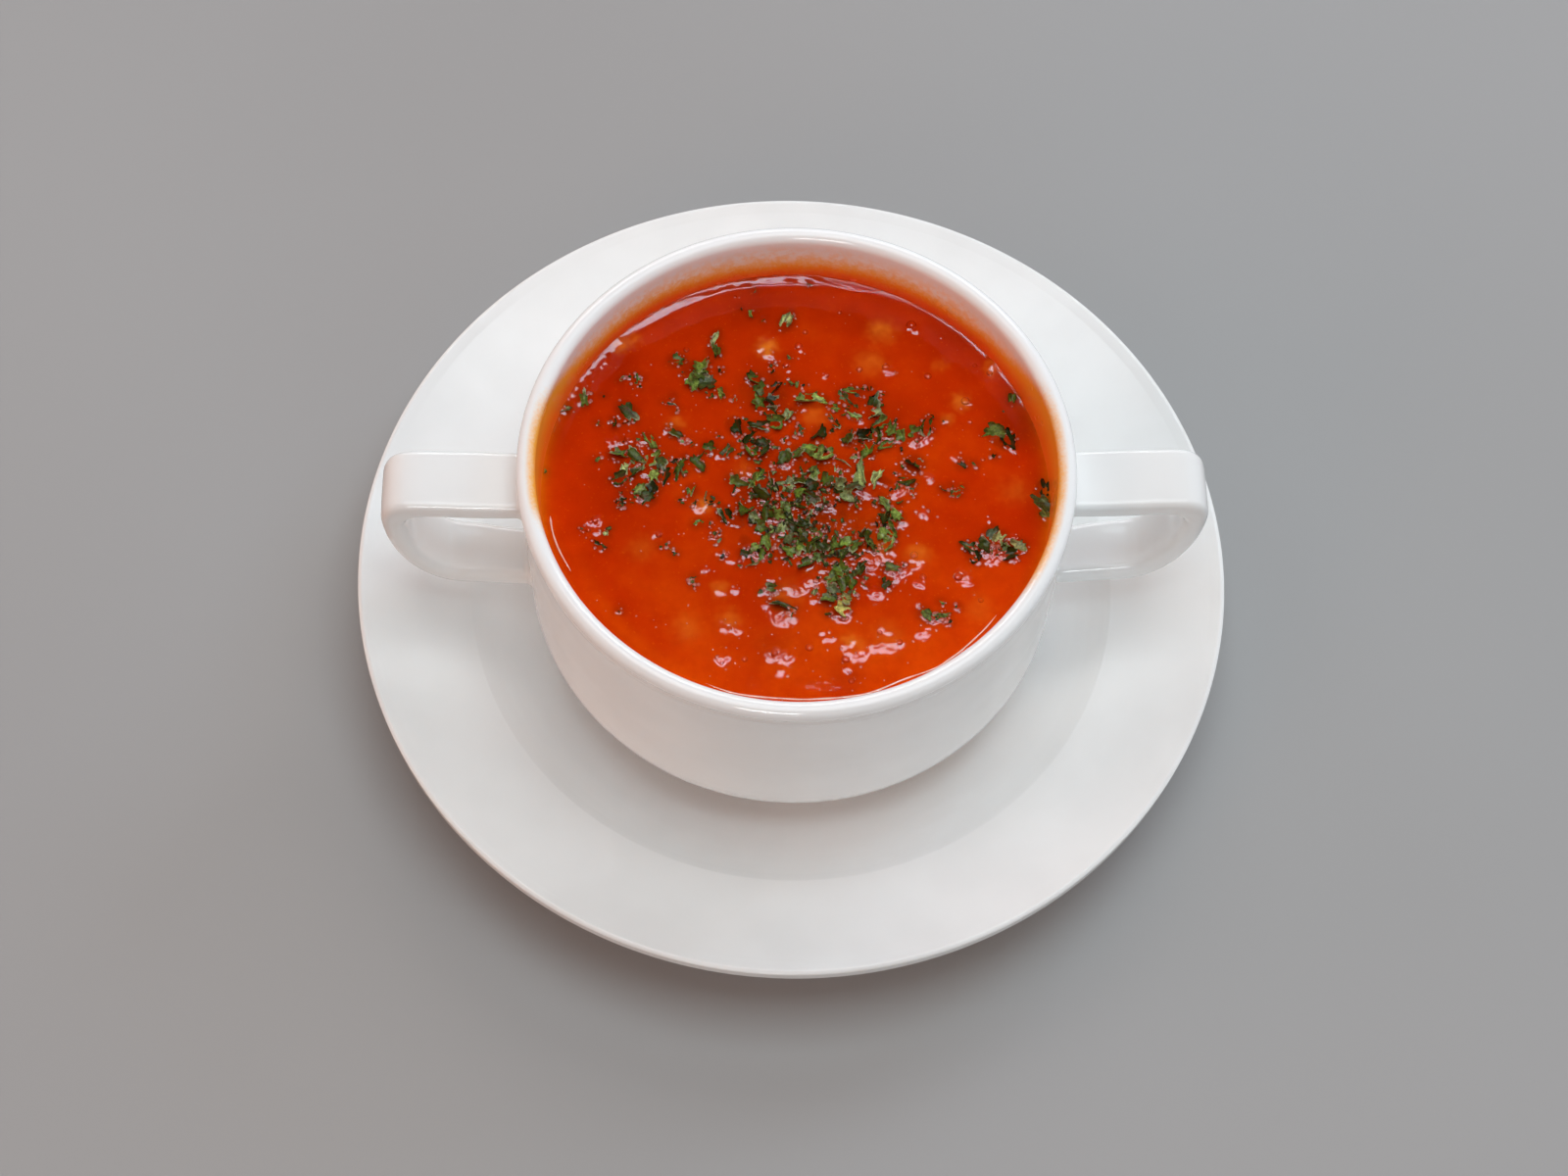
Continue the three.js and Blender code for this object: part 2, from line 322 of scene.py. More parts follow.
# ------------------------------------------------------------------ saucer
saucer_profile = rounded([
    (0, 1.8), (41.6, 1.8, 1.0), (43.3, 0.05, 0.6), (47.0, 0.05, 0.8), (48.3, 3.3, 2.0),
    (WELL_R - 5.2, 6.4, 6.0), (WELL_R + 0.8, WELL_EDGE_Z - 4.1, 7.0),
    (SAUCER_R - 1.7, SAUCER_H - EDGE_T - 0.5, 1.6), (SAUCER_R - 0.1, SAUCER_H - EDGE_T + 0.8, 1.2),
    (SAUCER_R, SAUCER_H - 0.35, 0.45), (SAUCER_R - 0.75, SAUCER_H - 0.03, 0.45),
    (SAUCER_R - 2.6, SAUCER_H - 0.98, 2.5),
    (WELL_R, WELL_EDGE_Z, 0.9), (WELL_R - 1.8, WELL_EDGE_Z - 1.5, 6), (WELL_R - 3.8, WELL_EDGE_Z - 2.9, 6), (WELL_R - 6.3, WELL_EDGE_Z - 4.1, 6),
    (WELL_R - 9.3, FLOOR_Z + 1.3, 8), (WELL_R - 12.8, FLOOR_Z + 0.6, 8), (WELL_R - 16.8, FLOOR_Z + 0.15, 8), (FLOOR_R, FLOOR_Z, 8), (0, FLOOR_Z),
])
porcelain_saucer = porcelain("glazed_porcelain_saucer", gloss=(0.12, 0.17))
v, f = turn(saucer_profile, 288)
saucer = make_mesh("porcelain_saucer", v, f, porcelain_saucer)
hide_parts("saucer")
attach(saucer, "root")

# ------------------------------------------------------------------ cup body
def arc(cx, cy, rx, ry, a0, a1, n):
    a = np.radians(np.linspace(a0, a1, n + 1))
    return [(cx + rx * c, cy + ry * s) for c, s in zip(np.cos(a), np.sin(a))]


outer = rounded([(0, 8.7), (25.4, 8.7, 1.0), (26.6, CUP_Z, 0.5), (30.0, CUP_Z, 0.6), (30.5, 8.1, 0.9), (34.6, 8.72, 1.5)]
                + [(r, z, 0) for r, z in arc(BODY_R - HEEL_R, HEEL_Z, HEEL_R, HEEL_R, -86, 0, 22)]
                + [(BODY_R - 0.05, 36.0, 60.0), (BODY_R - 0.32, 49.0, 60.0), (RIM_R - 0.52, 54.4, 1.2), (RIM_R - 0.42, 55.3, 0.6),
                   (RIM_R - 0.50, 55.9, 0.5), (RIM_R - 0.60, 56.45, 0.5), (RIM_R - 0.25, 57.2, 0.9)], arc_step=7)
roll = arc(RIM_R - RIM_W / 2, RIM_Z - 1.85, RIM_W / 2, 1.85, -8, 176, 26)
inner = rounded([(INNER_TOP_R, RIM_Z - 2.4), (INNER_TOP_R - 0.05, RIM_Z - 4.0, 30), (INNER_LEVEL_R, SOUP_Z, 60),
                 (INNER_LEVEL_R - 0.5, INNER_HEEL_Z, INNER_HEEL_R), (INNER_LEVEL_R - 0.6, INNER_FLOOR_Z, INNER_HEEL_R), (0, INNER_FLOOR_Z)], step=1.2)
cup_profile = np.vstack([outer, roll, inner])
wall_r = outer[outer[:, 1] > 8.5]


def outer_r(z):
    """Outside radius of the cup at height z."""
    return np.interp(z, wall_r[:, 1], wall_r[:, 0])


body_v, body_f = turn(cup_profile, 288)


# ------------------------------------------------------------------ handles
def ear(cx, cz, a, b, deg):
    t = math.radians(deg)
    return cx + a * math.cos(t), cz + b * math.sin(t)


ROOT = 1.5                              # fillet where a handle meets the wall
# stations from the upper root round the ear to the lower root: outer point, inner point, half width, edge rounding
STATIONS = [
    (50.9, 52.36, 50.9, 48.25, 6.05, 1.25), (53.5, 52.50, 53.5, 48.35, 6.1, 1.25), (57.0, 52.72, 57.0, 48.5, 6.15, 1.25),
    (61.0, 52.96, 61.0, 48.75, 6.15, 1.25), (65.0, 53.18, 64.6, 49.0, 6.12, 1.3), (68.2, 53.30, 66.8, 49.0, 6.1, 1.35),
    (70.9, 53.00, 68.6, 48.55, 6.1, 1.4), (73.0, 51.75, 69.75, 47.65, 6.1, 1.5), (74.3, 49.6, 70.4, 46.5, 6.1, 1.6),
    (74.85, 46.6, 70.65, 44.9, 6.1, 1.7),
]
for deg in (-12, -26, -40, -54, -68, -82):
    STATIONS.append((*ear(61.3, 45.2, 13.6, 23.3, deg), *ear(61.9, 44.6, 8.7, 17.3, deg), 6.05 + 0.004 * deg, 1.75 + 0.002 * -deg))
STATIONS += [(58.6, 21.35, 59.0, 26.75, 5.65, 1.95), (55.0, 20.55, 55.2, 25.8, 5.5, 1.95), (52.6, 20.1, 52.6, 25.2, 5.4, 1.95), (50.9, 19.9, 50.9, 24.9, 5.35, 1.9)]


def section(hw, ht, rho, crown):
    """Outline of a strap, across: rounded rectangle, half width hw, half thickness ht, faces crowned a little."""
    rho = min(rho, ht - 0.02, hw - 0.02)
    pts = []
    q, m = 7, 9
    corners = [(hw - rho, ht - rho, 0), (-(hw - rho), ht - rho, 90), (-(hw - rho), -(ht - rho), 180), (hw - rho, -(ht - rho), 270)]
    for k, (cx, cy, a0) in enumerate(corners):
        for i in range(q + 1):
            a = math.radians(a0 + 90 * i / q)
            pts.append((cx + rho * math.cos(a), cy + rho * math.sin(a)))
        nx, ny, b0 = corners[(k + 1) % 4]
        a = math.radians(a0 + 90)
        p, e = np.array(pts[-1]), np.array([nx + rho * math.cos(a), ny + rho * math.sin(a)])
        n = m if k % 2 == 0 else 2
        for i in range(1, n + 1):
            pts.append(tuple(p + (e - p) * i / (n + 1)))
    pts = np.array(pts)
    bulge = 1 - (pts[:, 0] / hw) ** 2
    pts[:, 1] += np.sign(pts[:, 1]) * crown * np.clip(bulge, 0, 1)
    return pts


def handle(side):
    st = spline(STATIONS, 5)
    rings, wall_d = [], []
    for ox, oz, ix, iz, hw, rho in st:
        o, i = np.array([ox, oz]), np.array([ix, iz])
        rings.append((o, i, hw, rho, 0.0))
    def flare(o, i, hw, rho, x_ref):
        out = []
        for k in range(1, 8):
            phi = math.radians(90 * k / 7)
            d, e = ROOT * (1 - math.sin(phi)), ROOT * (1 - math.cos(phi))
            x = x_ref + d
            out.append((np.array([x, o[1]]), np.array([x, i[1]]), hw, rho, e))
        out.append((np.array([x_ref - 0.35, o[1]]), np.array([x_ref - 0.35, i[1]]), hw, rho, ROOT + 0.25))
        return out
    x_ref = 50.9 - ROOT
    first = rings[0]
    last = rings[-1]
    rings = flare(first[0], first[1], first[2], first[3], x_ref)[::-1] + rings + flare(last[0], last[1], last[2], last[3], x_ref)
    verts, faces = [], []
    count = None
    for o, i, hw, rho, e in rings:
        c, n = (o + i) / 2, o - i
        ht = np.linalg.norm(n) / 2
        n = n / (2 * ht)
        s = section(hw + e, ht + e, rho + e, 0.12)
        # the lower arm is dished along its upper face
        low = s[:, 1] < 0
        s[low, 1] += 0.5 * smooth((44.0 - c[1]) / 9.0) * np.clip(1 - (s[low, 0] / (hw - 0.8)) ** 2, 0, 1)
        x = c[0] + n[0] * s[:, 1]
        z = c[1] + n[1] * s[:, 1]
        y = s[:, 0]
        d = x - x_ref
        onto = np.sqrt(np.maximum(outer_r(z) ** 2 - y ** 2, 0)) + d
        w = smooth((6.0 - d) / (6.0 - ROOT))
        x = x * (1 - w) + onto * w
        count = len(s)
        verts.append(np.column_stack([x, y, z]))
    for a in range(len(rings) - 1):
        for b in range(count):
            c = (b + 1) % count
            faces.append([a * count + b, a * count + c, (a + 1) * count + c, (a + 1) * count + b])
    faces.append(list(range(count))[::-1])
    faces.append([(len(rings) - 1) * count + k for k in range(count)])
    v = np.vstack(verts)
    if side < 0:
        v[:, :2] *= -1
    return v, faces


all_v, all_f = [body_v], list(body_f)
for side in (1, -1):
    hv, hf = handle(side)
    shift = sum(len(a) for a in all_v)
    all_v.append(hv)
    all_f += [[k + shift for k in face] for face in hf]
porcelain_cup = porcelain("glazed_porcelain_cup", film=True)
cup = make_mesh("porcelain_soup_cup", np.vstack(all_v), all_f, porcelain_cup)
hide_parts("soup_cup")
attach(cup, "root")

# ------------------------------------------------------------------ placements
# dried parsley flakes: centre x, y, length, width and turn of each, in pixels and degrees of the 1600 x 1200 frame
FLAKES = [
    (711, 383, 35, 24, 55), (1065, 507, 33, 14, 84), (1067, 525, 14, 8, 60), (1023, 446, 33, 17, 37), (830, 407, 34, 13, 7), (888, 487, 45, 10, 11), (640, 420, 23, 15, 53), (841, 464, 20, 15, -23), (933, 473, 18, 16, 26),
    (762, 507, 20, 14, -9), (664, 469, 20, 13, -44), (823, 473, 19, 14, -28), (802, 467, 17, 15, -66), (792, 431, 18, 14, 5), (858, 622, 18, 14, 20), (647, 463, 21, 12, 44), (751, 491, 21, 12, 30),
    (866, 446, 19, 13, -84), (777, 504, 18, 14, 44), (858, 581, 17, 14, 50), (1005, 556, 17, 14, 21), (827, 458, 16, 14, 34), (776, 397, 16, 14, -26), (774, 411, 16, 14, 64), (843, 489, 17, 14, -72),
    (752, 530, 17, 14, 4), (751, 434, 18, 13, 59), (829, 496, 16, 14, -28), (945, 436, 17, 13, -82), (740, 524, 17, 13, 65), (919, 443, 18, 13, -70), (830, 509, 18, 12, 37), (803, 327, 21, 11, -62),
    (759, 520, 15, 14, 31), (789, 514, 16, 13, -3), (772, 490, 21, 11, -60), (1040, 557, 15, 14, 13), (865, 506, 17, 13, 35), (803, 494, 16, 14, 3), (694, 475, 26, 9, -68), (767, 460, 16, 13, 65),
    (796, 617, 26, 8, 20), (908, 439, 16, 13, -57), (815, 462, 15, 14, -54), (802, 506, 16, 13, -8), (652, 499, 15, 14, -45), (902, 512, 19, 11, 64), (632, 463, 21, 10, 1), (914, 525, 21, 10, 49),
    (775, 434, 20, 10, 3), (934, 441, 15, 14, 19), (675, 471, 16, 13, 78), (898, 432, 17, 12, -23), (886, 459, 15, 14, -73), (817, 502, 16, 13, 12), (894, 422, 17, 12, 0), (863, 611, 15, 13, 49),
    (1024, 559, 16, 12, -34), (787, 408, 16, 13, 22), (845, 611, 20, 10, 10), (667, 484, 16, 13, -78), (767, 447, 16, 13, -44), (824, 574, 19, 11, -28), (893, 535, 15, 14, -2), (789, 501, 16, 13, 33),
    (903, 527, 17, 12, 85), (666, 497, 15, 13, 56), (862, 406, 18, 11, 52), (632, 488, 17, 12, -18), (836, 442, 18, 11, -57), (773, 517, 16, 12, -10), (786, 419, 16, 13, 35), (873, 558, 15, 13, -60),
    (1020, 549, 16, 12, -52), (868, 592, 17, 12, 75), (850, 503, 14, 14, -66), (857, 494, 16, 13, 27), (795, 562, 15, 13, 35), (840, 502, 16, 12, 83), (831, 483, 15, 13, -60), (817, 491, 16, 12, -4),
    (661, 508, 15, 13, -15), (782, 525, 15, 13, 90), (678, 484, 17, 12, -73), (910, 579, 19, 10, 11), (815, 513, 15, 13, -1), (664, 450, 19, 10, 60), (873, 496, 20, 10, 0), (907, 554, 16, 12, -47),
    (909, 541, 17, 11, 55), (849, 569, 15, 12, 48), (893, 444, 15, 13, 84), (820, 547, 14, 13, 52), (802, 518, 14, 13, 39), (867, 573, 16, 12, -79), (870, 541, 18, 11, -85), (779, 451, 15, 12, 32),
    (831, 536, 15, 13, 58), (827, 559, 15, 13, -70), (783, 554, 16, 12, 85), (803, 424, 18, 10, -49), (849, 589, 14, 13, -25), (770, 528, 14, 13, 49), (850, 601, 17, 11, 42), (1032, 565, 16, 12, -13),
    (808, 537, 16, 12, 63), (892, 410, 16, 12, -62), (646, 482, 15, 12, -24), (843, 579, 15, 12, 15), (793, 487, 16, 12, 24), (877, 582, 15, 12, -58), (835, 568, 14, 13, -17), (833, 548, 14, 13, -29),
    (777, 538, 15, 12, 40), (945, 627, 18, 10, 47), (824, 523, 15, 12, 36), (770, 386, 17, 10, 18), (1011, 544, 16, 11, -52), (882, 444, 16, 12, -2), (840, 558, 14, 13, 43), (794, 526, 14, 13, 44),
    (852, 556, 14, 13, -59), (860, 565, 14, 12, -50), (845, 535, 16, 11, -50), (845, 546, 14, 13, -48), (859, 596, 16, 11, 73), (816, 558, 15, 12, 81), (812, 526, 13, 13, -44), (996, 568, 14, 12, 64),
    (864, 553, 15, 12, -32), (742, 460, 17, 10, -52), (724, 457, 14, 12, 14), (712, 473, 17, 10, 46), (884, 545, 14, 12, -39), (990, 558, 18, 10, 26), (730, 357, 14, 12, 80), (798, 539, 15, 12, -73),
    (806, 562, 14, 12, 47), (803, 550, 14, 12, -84), (821, 534, 13, 13, 45), (779, 461, 15, 11, -22), (900, 545, 15, 11, -86), (691, 367, 15, 11, -14), (790, 396, 16, 10, -38), (637, 476, 15, 10, 76),
    (904, 454, 20, 8, -22), (872, 521, 19, 8, -86), (596, 406, 16, 10, 80), (793, 550, 14, 11, 82), (688, 441, 17, 8, 37), (926, 492, 17, 8, -1), (888, 555, 15, 10, 70), (905, 596, 15, 9, -46),
    (770, 559, 13, 10, -30), (788, 600, 13, 10, -2), (777, 565, 15, 8, -74), (760, 563, 12, 10, -74), (1033, 407, 12, 9, -75), (870, 398, 19, 6, -1), (730, 344, 17, 6, -63), (960, 628, 18, 6, -10),
    (705, 501, 12, 8, -73), (762, 553, 14, 7, 58), (735, 401, 11, 9, 65), (852, 415, 13, 7, 29), (872, 424, 13, 7, 26), (975, 503, 10, 8, -21), (577, 417, 11, 7, -3), (712, 533, 10, 7, -16),
    (854, 433, 9, 7, 33), (627, 431, 10, 6, 71), (982, 474, 9, 6, 31), (636, 510, 9, 6, 9), (651, 386, 10, 5, 73), (766, 320, 8, 5, 79), (610, 554, 10, 4, 33), (885, 505, 8, 6, 12),
    (685, 412, 9, 4, 9), (618, 544, 8, 5, 47), (633, 515, 7, 5, -33), (871, 466, 8, 4, -5), (728, 508, 8, 4, 45), (853, 477, 7, 4, 89), (813, 392, 6, 5, -85), (635, 386, 7, 4, -23),
    (826, 289, 7, 3, 16), (556, 481, 5, 4, 90), (684, 559, 6, 3, 21), (734, 543, 4, 4, 90), (858, 480, 6, 3, 23), (801, 448, 5, 4, 90), (816, 434, 5, 3, 45), (696, 450, 5, 3, 45),
    (634, 500, 5, 3, -45), (790, 371, 4, 3, 0), (705, 590, 4, 3, 90),
]
# dark specks of it: centre x, y
SPECKS = [
    (770, 296), (805, 365), (793, 372), (656, 387), (649, 391), (880, 396), (726, 404), (616, 404), (686, 405), (750, 408), (678, 410), (648, 430),
    (610, 432), (817, 438), (818, 442), (635, 451), (610, 469), (981, 498), (930, 500), (694, 510), (630, 512), (696, 513), (594, 540), (729, 545),
    (680, 556), (737, 568), (708, 589), (706, 594), (961, 615), (632, 623), (810, 622), (956, 632),
]
# places where the soup's skin tilts towards the front: centre x, y, length, width, turn
TILTS = [
    (931, 338, 11, 7, 11), (818, 359, 5, 4.6, -18), (618, 371, 18, 4, -47), (786, 366, 8, 4.5, 21), (801, 376, 9, 5.2, 50), (904, 380, 9, 7.1, 52), (842, 384, 5, 3.7, 90), (700, 388, 6, 4.3, 24),
    (763, 389, 5, 3.7, 0), (600, 394, 11, 3.8, -84), (986, 411, 5, 3.8, 66), (589, 412, 5, 4.6, 45), (818, 419, 4, 3.3, 45), (878, 432, 6, 4.9, 18), (676, 441, 5, 3.3, 53), (699, 445, 13, 5.9, -73),
    (641, 448, 8, 4.7, 75), (941, 452, 24, 9.3, -29), (903, 449, 10, 5.2, -22), (629, 454, 14, 9.8, -44), (657, 451, 8, 3.4, 19), (653, 459, 5, 3, 59), (1034, 460, 5, 3.8, -24), (734, 465, 7, 4.4, -85),
    (973, 468, 10, 3.7, 38), (801, 476, 8, 3.8, -3), (658, 485, 9, 5.5, 25), (762, 486, 13, 7.7, -20), (948, 490, 10, 7.3, -2), (919, 503, 19, 9.3, -36), (877, 503, 12, 9.6, 56), (752, 501, 9, 4.8, -50),
    (652, 510, 7, 2.7, 18), (716, 518, 13, 7.5, -43), (839, 519, 19, 6.2, -8), (942, 527, 6, 4, -12), (607, 534, 16, 7.7, -1), (1011, 533, 5, 4.5, -25), (921, 536, 17, 4, -15), (857, 541, 11, 6.2, -89),
    (610, 544, 7, 4.5, -39), (671, 547, 11, 5.3, -26), (727, 549, 5, 4.2, 18), (1033, 550, 7, 5.8, -29), (911, 567, 13, 5.5, -67), (1015, 568, 20, 12.9, -20), (822, 567, 9, 4.5, 39), (876, 567, 11, 3.9, 66),
    (738, 565, 14, 4.2, -6), (768, 566, 13, 4.6, 16), (893, 573, 23, 13.4, -58), (748, 573, 9, 5.9, -27), (721, 580, 6, 4.5, 90), (922, 586, 21, 11.2, -36), (982, 591, 17, 10, 29), (805, 602, 19, 7, 35), (825, 598, 27, 8, -38),
    (785, 593, 11, 5.5, 16), (938, 597, 12, 6.6, -1), (780, 601, 10, 3.6, 43), (749, 603, 6, 4.3, 50), (896, 609, 13, 9.2, -26), (875, 607, 5, 3.1, 0), (830, 614, 5, 3.1, -9), (937, 617, 5, 3.7, 0),
    (782, 619, 4, 3.3, -45), (801, 631, 20, 11.2, -23), (860, 632, 15, 7.3, -10), (962, 631, 5, 4.7, 90), (953, 635, 4, 3.3, 45), (750, 643, 8, 5.4, 68), (844, 644, 8, 6.2, -86), (944, 646, 13, 6.7, -43),
    (899, 643, 5, 3.1, 0), (847, 653, 13, 3.6, -17), (918, 656, 7, 3.8, -67), (897, 661, 15, 6.7, -12), (794, 671, 27, 10.1, 16), (876, 670, 18, 7.5, -14), (741, 673, 13, 7.8, -49), (864, 683, 7, 5.5, 34),
    (796, 687, 6, 5.3, 11),
]
# bits of tomato and onion just under the skin: centre x, y, size across, height of the bulge (mm), how far they show
BITS = [
    (782, 355, 26, 0.8, 1.0), (900, 338, 34, 0.30, 0.7), (632, 352, 24, 0.3, 0.7), (648, 346, 18, 0.25, 0.6), (1012, 378, 20, 0.35, 0.6),
    (980, 410, 24, 0.3, 0.7), (968, 428, 16, 0.25, 0.5), (937, 566, 30, 0.3, 0.7), (717, 516, 22, 0.12, 0.8), (744, 632, 30, 0.3, 0.4),
    (870, 656, 26, 0.4, 0.8), (888, 370, 40, 0.3, 0.45), (1015, 372, 18, 0.5, 0.5), (832, 425, 30, 0.2, 0.45), (690, 432, 24, 0.3, 0.5),
    (735, 600, 26, 0.2, 0.35), (1035, 500, 40, 0.15, 0.3), (960, 372, 20, 0.2, 0.3), (700, 640, 40, 0.15, 0.3), (800, 610, 46, 0.2, 0.4),
    (905, 650, 40, 0.25, 0.35), (655, 560, 40, 0.1, 0.25), (900, 560, 24, 0.3, 0.5), (760, 480, 30, 0.1, 0.3), (1000, 620, 40, 0.1, 0.3),
]
# where the herbs have steeped and the soup is browner, partly painted shadow in and beside the heap: centre x, y, size
# across, how far it shows
STEEPED_AND_SHADED = [
    (1040, 432, 60, 0.42), (783, 402, 66, 0.62), (828, 520, 150, 0.72), (668, 470, 80, 0.25), (905, 425, 60, 0.22), (768, 318, 30, 0.25), (700, 470, 60, 0.15),
    (788, 660, 44, 0.22), (866, 690, 36, 0.18), (1060, 505, 50, 0.18), (1015, 555, 60, 0.12), (612, 545, 40, 0.18),
]
# bubbles: centre x, y, radius (mm)
BUBBLES = [
    (930, 331, 0.95), (904, 374, 0.75), (947, 383, 0.75), (985, 409, 0.8), (877, 376, 0.7), (843, 382, 0.65), (815, 352, 0.8), (822, 338, 0.6),
    (802, 372, 0.6), (940, 446, 0.55), (1010, 380, 0.6), (700, 368, 0.55), (933, 566, 0.8), (942, 588, 0.7), (978, 588, 0.8), (826, 660, 0.8),
    (790, 666, 0.7), (760, 672, 0.6), (863, 672, 0.8), (869, 694, 0.6), (918, 655, 0.6), (898, 645, 0.5), (607, 530, 0.7), (600, 540, 0.55),
    (672, 545, 0.6), (742, 565, 0.5), (755, 572, 0.6), (1003, 468, 0.5), (978, 466, 0.45), (650, 452, 0.6), (640, 447, 0.55), (745, 640, 0.5),
    (700, 356, 0.6), (716, 372, 0.5), (857, 318, 0.5), (750, 302, 0.4), (990, 430, 0.5), (995, 372, 0.5), (1038, 548, 0.5), (1001, 612, 0.5),
]

rng = np.random.default_rng(394)


def placed(entry, z):
    """Centre, half axes and turn, in mm and radians, of a placement lying at height z."""
    px, py, ln, wd, deg = entry
    a = math.radians(deg)
    ux, uy = math.cos(a), math.sin(a)
    c = at(px, py, z)
    l = (at(px + ux * ln / 2, py + uy * ln / 2, z) - at(px - ux * ln / 2, py - uy * ln / 2, z))[:2]
    w = (at(px - uy * wd / 2, py + ux * wd / 2, z) - at(px + uy * wd / 2, py - ux * wd / 2, z))[:2]
    return c[:2], max(np.linalg.norm(l), 0.3) / 2, max(np.linalg.norm(w), 0.3) / 2, math.atan2(l[1], l[0])


TILTS += [(841, 518, 22, 7, 20), (800, 476, 12, 5, 0), (767, 563, 14, 8, 160), (824, 564, 17, 6, 150), (802, 543, 12, 6, 90), (862, 508, 12, 7, 45), (942, 526, 10, 5, 20)]
flakes = [placed(e, SOUP_Z + 0.3) for e in FLAKES]
heap_c = at(828, 535, SOUP_Z)[:2]


def in_heap(c):
    d = np.asarray(c) - heap_c
    return math.exp(-(d[0] / 13.0) ** 2 - (d[1] / 13.0) ** 2)


# crumbs scattered round the flakes, thickest in the middle
crumbs = [(at(x, y, SOUP_Z)[:2], rng.uniform(0.35, 0.6), rng.uniform(0.25, 0.4), rng.uniform(0, math.pi)) for x, y in SPECKS]
for c, a, b, t in list(flakes):
    for _ in range(rng.poisson(1.3 + 2.6 * in_heap(c))):
        ang, dist = rng.uniform(0, 2 * math.pi), rng.uniform(0.8, 1.5)
        p = c + np.array([math.cos(ang), math.sin(ang)]) * (a * dist + rng.uniform(0.2, 1.3))
        if np.hypot(*p) < 44:
            crumbs.append((p, rng.uniform(0.28, 0.8), rng.uniform(0.2, 0.45), rng.uniform(0, math.pi)))

# ------------------------------------------------------------------ soup surface
SOUP_R = INNER_LEVEL_R + 0.12          # reaches just into the wall
RINGS = 172


STEP = 0.1                             # the relief is worked out on a grid of this spacing
axis = np.arange(-47.0, 47.0 + STEP / 2, STEP)
GX, GY = np.meshgrid(axis, axis, indexing="ij")


def window(c, reach):
    lo = [max(int((k - reach + 47.0) / STEP), 0) for k in c]
    hi = [min(int((k + reach + 47.0) / STEP) + 2, len(axis)) for k in c]
    return (slice(lo[0], hi[0]), slice(lo[1], hi[1]))


